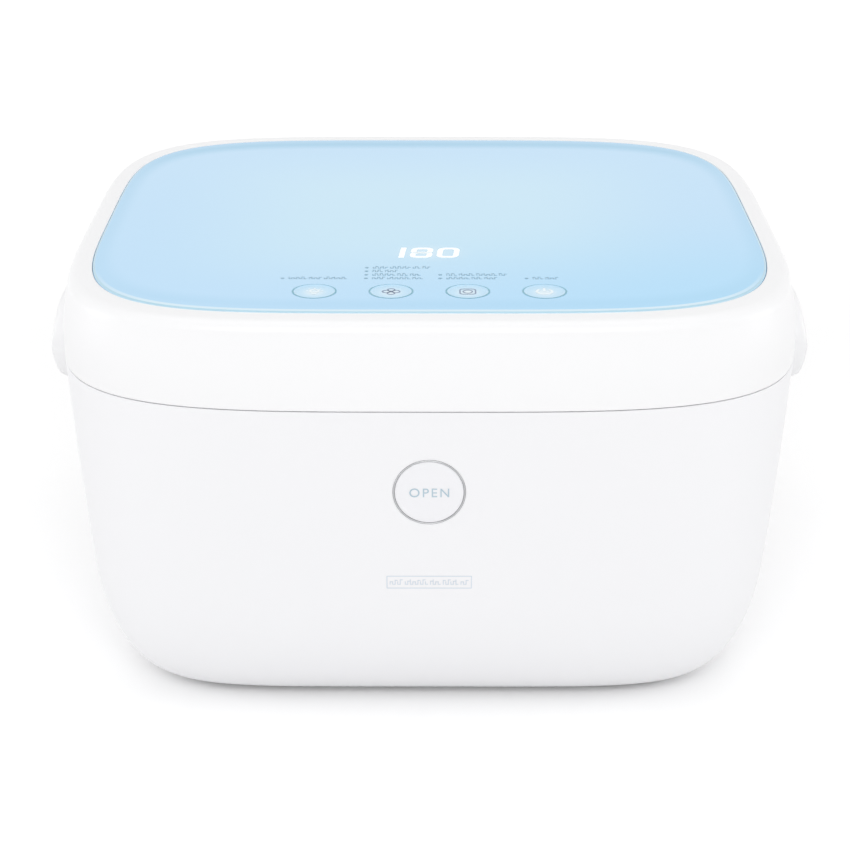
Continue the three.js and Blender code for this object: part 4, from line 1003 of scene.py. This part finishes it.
def stroke_line(x, y, length, high, seed):
    """A row of small strokes in words, like a printed caption that can't be read."""
    strokes = []
    place = x
    word = number = seed
    left = WORD_STROKES[word % len(WORD_STROKES)]
    while place < x + length:
        rise = high * STROKE_RISES[number % len(STROKE_RISES)]
        level = rise - STROKE_WIDE / 2 if number % 2 else STROKE_WIDE / 2
        strokes.append(bar(STROKE_WIDE, rise, place, y + rise / 2))
        strokes.append(bar(STROKE_PITCH, STROKE_WIDE, place + STROKE_PITCH / 2, y + level))
        number += 1
        left -= 1
        place += STROKE_PITCH
        if left == 0:
            word += 1
            left = WORD_STROKES[word % len(WORD_STROKES)]
            place += STROKE_PITCH
    return strokes


CAPTION_ROW = 95.4
CAPTION_PITCH = 4.9
CAPTION_HIGH = 2.9
BULLET_RADIUS = 0.87
CAPTION_COLUMNS = ((-65.2, (29,)), (-28.2, (28.5, 13, 24, 25)), (4.8, (29, 25)), (43.1, (14,)))


def make_captions():
    """Rows of small strokes over the keys, each after a bullet."""
    strokes = []
    for column, (x, lengths) in enumerate(CAPTION_COLUMNS):
        for line, length in enumerate(reversed(lengths)):
            y = line * CAPTION_PITCH - CAPTION_ROW
            strokes.append(dot(BULLET_RADIUS, x, y + BULLET_RADIUS, 12))
            strokes += stroke_line(x + CAPTION_HIGH, y, length - CAPTION_HIGH, CAPTION_HIGH,
                                   column + line)
    piece("key_captions", on_panel(merge(*strokes), PRINT_LIFT), "lid", CAPTION)


# opening button

DOME_SHARES = (0.15, 0.3, 0.45, 0.6, 0.75, 0.88)
CAP_ROUND = 0.25
CAP_ROUND_SHARES = ((1, -0.12), (0.24, 0.2), (0, 1))
WORD_HIGH = 4.3
WORD_WIDE = 17.2


def make_button():
    """The plated ring with its sleeve, the slightly domed button on its stem, and its word."""
    inner = RING_RADIUS - RING_WIDE
    soft = RING_WIDE / 2
    arc = [(RING_RADIUS - soft * (1 + cos(a)), -RING_PROUD + soft * (1 - sin(a)))
           for a in (i * TURN / 16 for i in range(9))]
    stem_hole = STEM_RADIUS + GAP
    seat_end = RING_SEAT + RING_WALL
    sleeve_end = SLEEVE_DEEP + RING_WALL
    ring = turned([*arc, (RING_RADIUS, RING_SEAT), (RING_FLANGE, RING_SEAT),
                   (RING_FLANGE, seat_end), (RING_RADIUS, seat_end), (RING_RADIUS, sleeve_end),
                   (stem_hole, sleeve_end), (stem_hole, SLEEVE_DEEP), (inner, SLEEVE_DEEP)],
                  joined=True, count=128)
    piece("button_bezel", at_button(ring), "base", PLATED, ["button_ring"])
    radius = inner - RING_GAP
    dome = [(radius * share, -BUTTON_DOME * (1 - share ** 2)) for share in DOME_SHARES]
    rounded = [(radius - x * CAP_ROUND, z * CAP_ROUND) for x, z in CAP_ROUND_SHARES]
    cap = turned([*dome, *rounded, (radius, BUTTON_THICK), (STEM_RADIUS, BUTTON_THICK),
                  (STEM_RADIUS, STEM_REACH)], count=128)
    piece("button_cap", at_button(cap), "button", BUTTON_WHITE, ["open_button"])
    word = text_film("OPEN", WORD_HIGH, WORD_WIDE)
    piece("button_word", face_button(word, BUTTON_DOME + PRINT_LIFT), "button", WORD_BLUE)


SPRING_RADIUS = 8
SPRING_WIRE = 0.6
SPRING_TURNS = 4


def make_spring():
    """The coil behind the button, on a mesh of its own; the real coil shortens as the button goes
    in.
    """
    near_end = BUTTON_THICK + GAP
    far_end = SLEEVE_DEEP - GAP
    steps = SPRING_TURNS * 36
    rise = (far_end - near_end - 2 * SPRING_WIRE) / steps
    place = Matrix.Translation((SPRING_RADIUS, 0, near_end + SPRING_WIRE))
    coil = bmesh.new()
    bmesh.ops.create_circle(coil, segments=12, radius=SPRING_WIRE,
                            matrix=place @ Matrix.Rotation(TURN / 4, 4, "X"))
    bmesh.ops.spin(coil, geom=[*coil.verts, *coil.edges], cent=(0, 0, 0), axis=(0, 0, 1),
                   angle=TURN * SPRING_TURNS, steps=steps, dvec=(0, 0, rise), use_merge=False,
                   use_duplicate=False)
    ends = [edge for edge in coil.edges if edge.is_boundary]
    bmesh.ops.holes_fill(coil, edges=ends, sides=0)
    bmesh.ops.recalc_face_normals(coil, faces=coil.faces)
    spring = piece("button_coil", at_button(coil), "base", STEEL, ["button_spring"])
    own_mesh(spring)


def text_film(words, high, wide):
    """A plain word as a thin film, centred on the origin, reading along +X."""
    curve = bpy.data.curves.new("word", "FONT")
    curve.body = words
    curve.space_character = 1.25
    holder = bpy.data.objects.new("word", curve)
    bpy.context.collection.objects.link(holder)
    bpy.context.view_layer.update()
    mesh = bpy.data.meshes.new_from_object(holder)
    bm = bmesh.new()
    bm.from_mesh(mesh)
    bpy.data.objects.remove(holder)
    bpy.data.curves.remove(curve)
    bpy.data.meshes.remove(mesh)
    lows = [min(v.co[axis] for v in bm.verts) for axis in (0, 1)]
    highs = [max(v.co[axis] for v in bm.verts) for axis in (0, 1)]
    move_bm(bm, (-(lows[0] + highs[0]) / 2, -(lows[1] + highs[1]) / 2, 0))
    bmesh.ops.scale(bm, verts=bm.verts, vec=(wide / (highs[0] - lows[0]),
                                             high / (highs[1] - lows[1]), 1))
    bmesh.ops.remove_doubles(bm, verts=bm.verts, dist=1e-3)
    return film(bm)


def face_button(bm, proud):
    """From flat on Z = 0, reading along X, to upright on the button's face."""
    turn_bm(bm, TURN / 4, "X")
    move_bm(bm, (0, -proud, 0))
    turn_bm(bm, BUTTON_LEAN, "X")
    return move_bm(bm, (0, -BUTTON_FACE, BUTTON_UP))


LABEL_DROP = 83.4
LABEL_SIZE = (37.8, 6.6)
LABEL_ROW = (-17.3, -1.3)
LABEL_LENGTH = 34.7
LABEL_LETTER = 2.7
LABEL_ROUND = 0.4
LABEL_LINE = 0.45


def make_label():
    """A thin framed line of strokes low on the front."""
    middle = SEAM - LABEL_DROP
    label = merge(rounded_loop(*LABEL_SIZE, LABEL_ROUND, LABEL_LINE),
                  *stroke_line(*LABEL_ROW, LABEL_LENGTH, LABEL_LETTER, 1))
    lean = atan(DRAFT + 2 * LABEL_DROP / BOW_LENGTH)
    turn_bm(label, TURN / 4 + lean, "X")
    move_bm(label, (0, -body_deep(0, middle) - PRINT_LIFT, middle))
    piece("front_label", label, "base", LABEL_BLUE)


# carry handle


def bail_ring(place, outward, high, thick):
    """A ring across the bail's run, rounder on top than below."""
    (x, y), (nx, ny) = place, outward

    def point(turn):
        up, out = cos(turn * TURN), sin(turn * TURN)
        square = HANDLE_TOP_SQUARE if up > 0 else HANDLE_LOW_SQUARE
        reach = (abs(up / high) ** square + abs(out / thick) ** square) ** (-1 / square)
        return Vector((x + nx * reach * out, y + ny * reach * out, HANDLE_UP + reach * up))
    return point


NOSE_SHARES = (-0.995, -0.975, -0.94, -0.88, -0.8, -0.7, -0.58, -0.45, -0.3, -0.15)
SWEEP_STEPS = 96


def handle_stations():
    """Place, outward direction, height share and blend from end to grip along the bail."""
    half = SEAM_WIDE + HANDLE_GAP + HANDLE_THICK / 2
    ends = [((half, s * HANDLE_HIGH / 2), (1, 0), sqrt(1 - s * s), 0) for s in NOSE_SHARES]
    sweep = []
    for i in range(SWEEP_STEPS + 1):
        turn = i / SWEEP_STEPS * TURN / 2
        angle = turn + CORNER_CROWD * sin(4 * turn) / 4
        x, y = cos(angle), sin(angle)
        reach = (abs(x / half) ** GRIP_SQUARE + abs(y / GRIP_DEEP) ** GRIP_SQUARE) ** (
            -1 / GRIP_SQUARE)
        x, y = reach * x, reach * y
        nx = (1 if x > 0 else -1) * (abs(x) / half) ** (GRIP_SQUARE - 1) / half
        ny = (abs(y) / GRIP_DEEP) ** (GRIP_SQUARE - 1) / GRIP_DEEP
        size = hypot(nx, ny)
        sweep.append(((x, y), (nx / size, ny / size), 1, (y / GRIP_DEEP) ** 2))
    mirrored = [((-x, y), (-1, 0), tall, 0) for (x, y), _, tall, _ in reversed(ends)]
    return ends + sweep + mirrored


def make_handle():
    """The bail, folded behind the lid: tall round ends that thin out into the grip."""
    rings = []
    for place, outward, tall, blend in handle_stations():
        high = (HANDLE_HIGH + (GRIP_HIGH - HANDLE_HIGH) * blend) / 2 * tall
        thick = (HANDLE_THICK + (GRIP_THICK - HANDLE_THICK) * blend) / 2
        rings.append(bail_ring(place, outward, high, thick))
    piece("carry_bail", loft(rings, 44), "handle", WHITE, ["carry_handle"],
          sharp=60)


# chamber


EDGE_ROUND = 0.5
TRAY_ROUND = 0.6
FLANGE_ROUND = 1.2
FLANGE_SOFT = 0.35
SEAL_WIDE = 4
SLOT_ROUND = 1.3
CATCH_ROUND = 1


def chamber_outline(grow, high):
    """The chamber's mouth, grown by so much."""
    return outline(CHAMBER_WIDE + grow, CHAMBER_DEEP + grow, CHAMBER_SQUARE, high,
                   back=CHAMBER_BACK)


def chamber_ring(offset, high):
    """A ring of the chamber's wall, which narrows downward."""
    draft = CHAMBER_DRAFT * (FLANGE_TOP - high) / (FLANGE_TOP - CHAMBER_FLOOR)
    return chamber_outline(offset - draft, high)


def make_chamber():
    """The bright cup with its flange, the air slots behind and the lamp's window below."""
    straight = CHAMBER_FLOOR + CHAMBER_ROUND

    def bend(grow):
        radius = CHAMBER_ROUND + grow
        return [chamber_ring(grow - radius * (1 - sin(a)), straight - radius * cos(a))
                for a in quarter(10)]
    rings = [*bend(SHEET), chamber_ring(SHEET, FLANGE_TOP - SHEET),
             chamber_ring(SHEET + FLANGE_WIDE, FLANGE_TOP - SHEET),
             chamber_ring(SHEET + FLANGE_WIDE, FLANGE_TOP), chamber_ring(FLANGE_ROUND, FLANGE_TOP),
             chamber_ring(FLANGE_SOFT, FLANGE_TOP - FLANGE_SOFT),
             chamber_ring(0, FLANGE_TOP - FLANGE_ROUND), *reversed(bend(0))]
    low, high = node_corners("air_duct")
    middle = node_middle("air_duct")
    rear = CHAMBER_DEEP + SHEET - CHAMBER_BACK
    slots = [soften(box((SLOT_WIDE, CHAMBER_ROUND, high.z - low.z - 2 * WALL),
                        (middle.x + i * SLOT_PITCH, rear, middle.z)), SLOT_ROUND)
             for i in range(-2, 3)]
    lamp_hole = box((WINDOW_WIDE, WINDOW_DEEP, CHAMBER_ROUND), (0, -CHAMBER_BACK, CHAMBER_FLOOR))
    piece("chamber_cup", carve(loft(rings, CUP_COUNT), lamp_hole, *slots), "base", MIRROR,
          ["inner_liner"], sharp=40)


def make_deck():
    """The white deck round the chamber, with a skirt and a slot for the catch."""
    low = DECK_TOP - DECK_SKIRT
    bottom = DECK_TOP - DECK_THICK

    def edge(inset, high):
        inset += WALL + GAP + body_inset(SEAM - high)
        return body_ring(inset, SEAM - high)
    rings = [edge(0, low), edge(0, DECK_TOP - EDGE_ROUND), edge(EDGE_ROUND, DECK_TOP),
             chamber_outline(SHEET + GAP, DECK_TOP), chamber_outline(SHEET + GAP, bottom),
             edge(WALL, bottom), edge(WALL, low)]
    catch_low, catch_high = node_corners("lid_catch")
    size = catch_high - catch_low
    middle = node_middle("lid_catch").y + CENTRE_SHIFT
    slot = box((size.x + DECK_THICK, size.y + DECK_THICK, 4 * DECK_THICK), (0, middle, bottom))
    deck = carve(loft(rings, SHELL_COUNT, joined=True), soften(slot, CATCH_ROUND))
    piece("deck_plate", deck, "base", WHITE, ["top_deck"], sharp=40)


def tray_ring(grow, high):
    """The outline of the lamps' tray in the lid, grown by so much."""
    return outline(TRAY_WIDE + grow, TRAY_DEEP + grow, CHAMBER_SQUARE, high, back=CHAMBER_BACK)


def make_underplate():
    """The white plate under the lid, open where the tray is, with holes for its screws."""
    def edge(inset, high):
        inset += WALL + GAP
        return outline(SEAM_WIDE - inset, SEAM_DEEP - inset, SEAM_SQUARE, high)
    plate = loft([edge(EDGE_ROUND, UNDERPLATE_LOW), edge(0, UNDERPLATE_LOW + EDGE_ROUND),
                  edge(0, UNDERPLATE_TOP), tray_ring(0, UNDERPLATE_TOP),
                  tray_ring(0, UNDERPLATE_LOW + TRAY_ROUND),
                  tray_ring(TRAY_ROUND, UNDERPLATE_LOW)], SHELL_COUNT, joined=True)
    holes = []
    for number in range(1, 5):
        centre = node_middle(f"lid_screw_{number}")
        hole = turned([(SCREW_RADIUS, UNDERPLATE_LOW - 2), (SCREW_RADIUS, UNDERPLATE_TOP + 2)],
                      count=32)
        holes.append(move_bm(hole, (centre.x, centre.y + CENTRE_SHIFT, 0)))
    piece("lid_base_plate", carve(plate, *holes), "lid", WHITE,
          ["lid_underplate"], sharp=40)


def make_tray():
    """The bright tray in the lid with its flange, open where the lamps' window is."""
    half = TRAY_HIGH / 2

    def bend(grow):
        radius = half + grow
        return [(grow - radius * (1 - cos(a)), TRAY_ROOF - half + radius * sin(a))
                for a in quarter(8)]
    rows = [*reversed(bend(0)), (0, TRAY_FLANGE), (FLANGE_WIDE, TRAY_FLANGE),
            (FLANGE_WIDE, TRAY_FLANGE + SHEET), (SHEET, TRAY_FLANGE + SHEET), *bend(SHEET)]
    lamp_hole = box((WINDOW_WIDE, WINDOW_DEEP, TRAY_HIGH), (0, -CHAMBER_BACK, TRAY_ROOF))
    tray = carve(loft([tray_ring(grow, z) for grow, z in rows], CUP_COUNT), lamp_hole)
    piece("lamp_tray", tray, "lid", MIRROR, ["lid_reflector"], sharp=40)


def make_seal():
    """The silicone seal that meets the chamber's flange, its lower edges softened."""
    low, top = (corner[2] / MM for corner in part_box("lid_gasket"))
    rows = [(0, top), (0, low + EDGE_ROUND), (EDGE_ROUND, low), (SEAL_WIDE - EDGE_ROUND, low),
            (SEAL_WIDE, low + EDGE_ROUND), (SEAL_WIDE, top)]
    seal = loft([chamber_outline(SHEET + grow, z) for grow, z in rows], CUP_COUNT, joined=True)
    piece("lid_seal", seal, "lid", SILICONE, ["lid_gasket"], sharp=50)


RIM_WIRE = 1.5
CROSS_WIRE = 1.2
CROSS_SPACES = 14
BLUNT_SHARE = 0.4
LEG_SHARES = (0.72, 0.8)


def make_rack():
    """Welded wires: a rim, cross wires, two ties and four legs."""
    low, high = node_corners("wire_rack")
    z = high.z - RIM_WIRE
    wide, deep = high.x - RIM_WIRE, (high.y - low.y) / 2 - RIM_WIRE
    middle = (high.y + low.y) / 2 + CENTRE_SHIFT

    def rim_ring(angle):
        return outline(wide + RIM_WIRE * cos(angle), deep + RIM_WIRE * cos(angle), CHAMBER_SQUARE,
                       z + RIM_WIRE * sin(angle), back=-middle)

    def reach(x):
        return deep * (1 - (abs(x) / wide) ** CHAMBER_SQUARE) ** (1 / CHAMBER_SQUARE)

    def rod(radius, length, axis, centre):
        """A wire with blunt ends, upright or turned a quarter about an axis."""
        blunt = radius * BLUNT_SHARE
        ends = [(radius - blunt, -length / 2), (radius, blunt - length / 2),
                (radius, length / 2 - blunt), (radius - blunt, length / 2)]
        bm = turned(ends, count=16)
        if axis:
            turn_bm(bm, TURN / 4, axis)
        return move_bm(bm, centre)
    pitch = 2 * wide / CROSS_SPACES
    wires = [rod(CROSS_WIRE, 2 * reach(i * pitch), "X", (i * pitch, middle, z))
             for i in range(1 - CROSS_SPACES // 2, CROSS_SPACES // 2)]
    leg_x = LEG_SHARES[0] * wide
    leg_y = LEG_SHARES[1] * reach(leg_x)
    legs = [rod(RIM_WIRE, z - low.z, None, (x * leg_x, y * leg_y + middle, (z + low.z) / 2))
            for x in SIDES for y in SIDES]
    ties = [rod(RIM_WIRE, 2 * leg_x, "Y", (0, y * leg_y + middle, z)) for y in SIDES]
    rim = loft([rim_ring(i / 16 * TURN) for i in range(16)], 128, joined=True)
    piece("rack_wires", merge(rim, *wires, *legs, *ties), "rack", STEEL, ["wire_rack"])


for make in (make_body, make_lid, make_glass, make_digits, make_keys, make_captions, make_button,
             make_spring, make_label, make_handle, make_chamber, make_deck, make_underplate,
             make_tray, make_seal, make_rack):
    make()


# light and floor


# The floor is lifted to pure white between these distances in metres.
FLOOR_NEAR = 0.5
FLOOR_FAR = 2.5
FLOOR_LIFT = 0.6
FLOOR_HALF = 6
FLOOR_PALE = 0xF9F9F9
FLOOR_GAIN = 1.14
SKY_LIGHT = 0.66


def seen_rays(tree):
    """1 for rays that come from the camera, a reflection or a clear sheet, 0 for others."""
    rays = add(tree, "LightPath").outputs
    seen = rays["Is Camera Ray"]
    for kind in ("Is Glossy Ray", "Is Transmission Ray"):
        seen = add(tree, "Math", {"operation": "MAXIMUM"}, _0=seen, _1=rays[kind]).outputs[0]
    return seen


def make_floor():
    """A pale floor with a soft shadow, which turns to pure white farther from the box."""
    bm = bmesh.new()
    bmesh.ops.create_grid(bm, x_segments=1, y_segments=1, size=FLOOR_HALF)
    mesh = bpy.data.meshes.new("floor")
    bm.to_mesh(mesh)
    bm.free()
    floor = bpy.data.objects.new("floor", mesh)
    bpy.context.collection.objects.link(floor)
    material = bpy.data.materials.new("pale_floor")
    material.use_nodes = True
    tree = material.node_tree
    tree.nodes.clear()
    place = add(tree, "TexCoord").outputs["Object"]
    far = add(tree, "VectorMath", {"operation": "LENGTH"}, _0=place).outputs["Value"]
    lift = add(tree, "MapRange", None, Value=far, From_Min=FLOOR_NEAR, From_Max=FLOOR_FAR,
               To_Max=FLOOR_LIFT).outputs["Result"]
    seen = seen_rays(tree)
    glow = add(tree, "Math", {"operation": "MULTIPLY"}, _0=seen, _1=lift).outputs[0]
    light = add(tree, "Emission", None, Strength=glow)
    pale = laid_over(tree, linear(FLOOR_PALE), (FLOOR_GAIN, FLOOR_GAIN, FLOOR_GAIN, 1), seen)
    matt = add(tree, "BsdfDiffuse", None, Color=pale)
    both = add(tree, "AddShader", None, _0=matt.outputs[0], _1=light.outputs[0])
    add(tree, "OutputMaterial", None, Surface=both.outputs[0])
    mesh.materials.append(material)


def make_world():
    """White surroundings, brighter to the eye than the light they give."""
    world = bpy.data.worlds.new("studio")
    world.use_nodes = True
    tree = world.node_tree
    tree.nodes.clear()
    level = add(tree, "MapRange", None, Value=seen_rays(tree), To_Min=SKY_LIGHT,
                To_Max=1.0).outputs["Result"]
    sky = add(tree, "Background", None, Color=(1, 1, 1, 1), Strength=level)
    add(tree, "OutputWorld", None, Surface=sky.outputs[0])
    bpy.context.scene.world = world


def soft_box(name, size, power, place, aim):
    """A rectangular lamp facing a point, in metres and watts."""
    lamp = bpy.data.lights.new(name, "AREA")
    lamp.shape = "RECTANGLE"
    lamp.size, lamp.size_y = size
    lamp.energy = power
    holder = bpy.data.objects.new(name, lamp)
    holder.location = place
    holder.rotation_euler = (Vector(aim) - Vector(place)).to_track_quat("-Z", "Y").to_euler()
    bpy.context.collection.objects.link(holder)


make_floor()
make_world()
soft_box("front_soft_box", (1.6, 1.0), 13, (0, -2.0, 1.3), (0, 0, 0.12))
soft_box("top_soft_box", (1.8, 1.4), 5.7, (0, 0.1, 2.1), (0, 0, 0.1))
for side in SIDES:
    soft_box(f"{SIDE_NAMES[side]}_soft_box", (1.0, 1.0), 5, (side * 2.1, 0, 0.5), (0, 0, 0.12))

scene = bpy.context.scene
scene.view_settings.view_transform = "Standard"
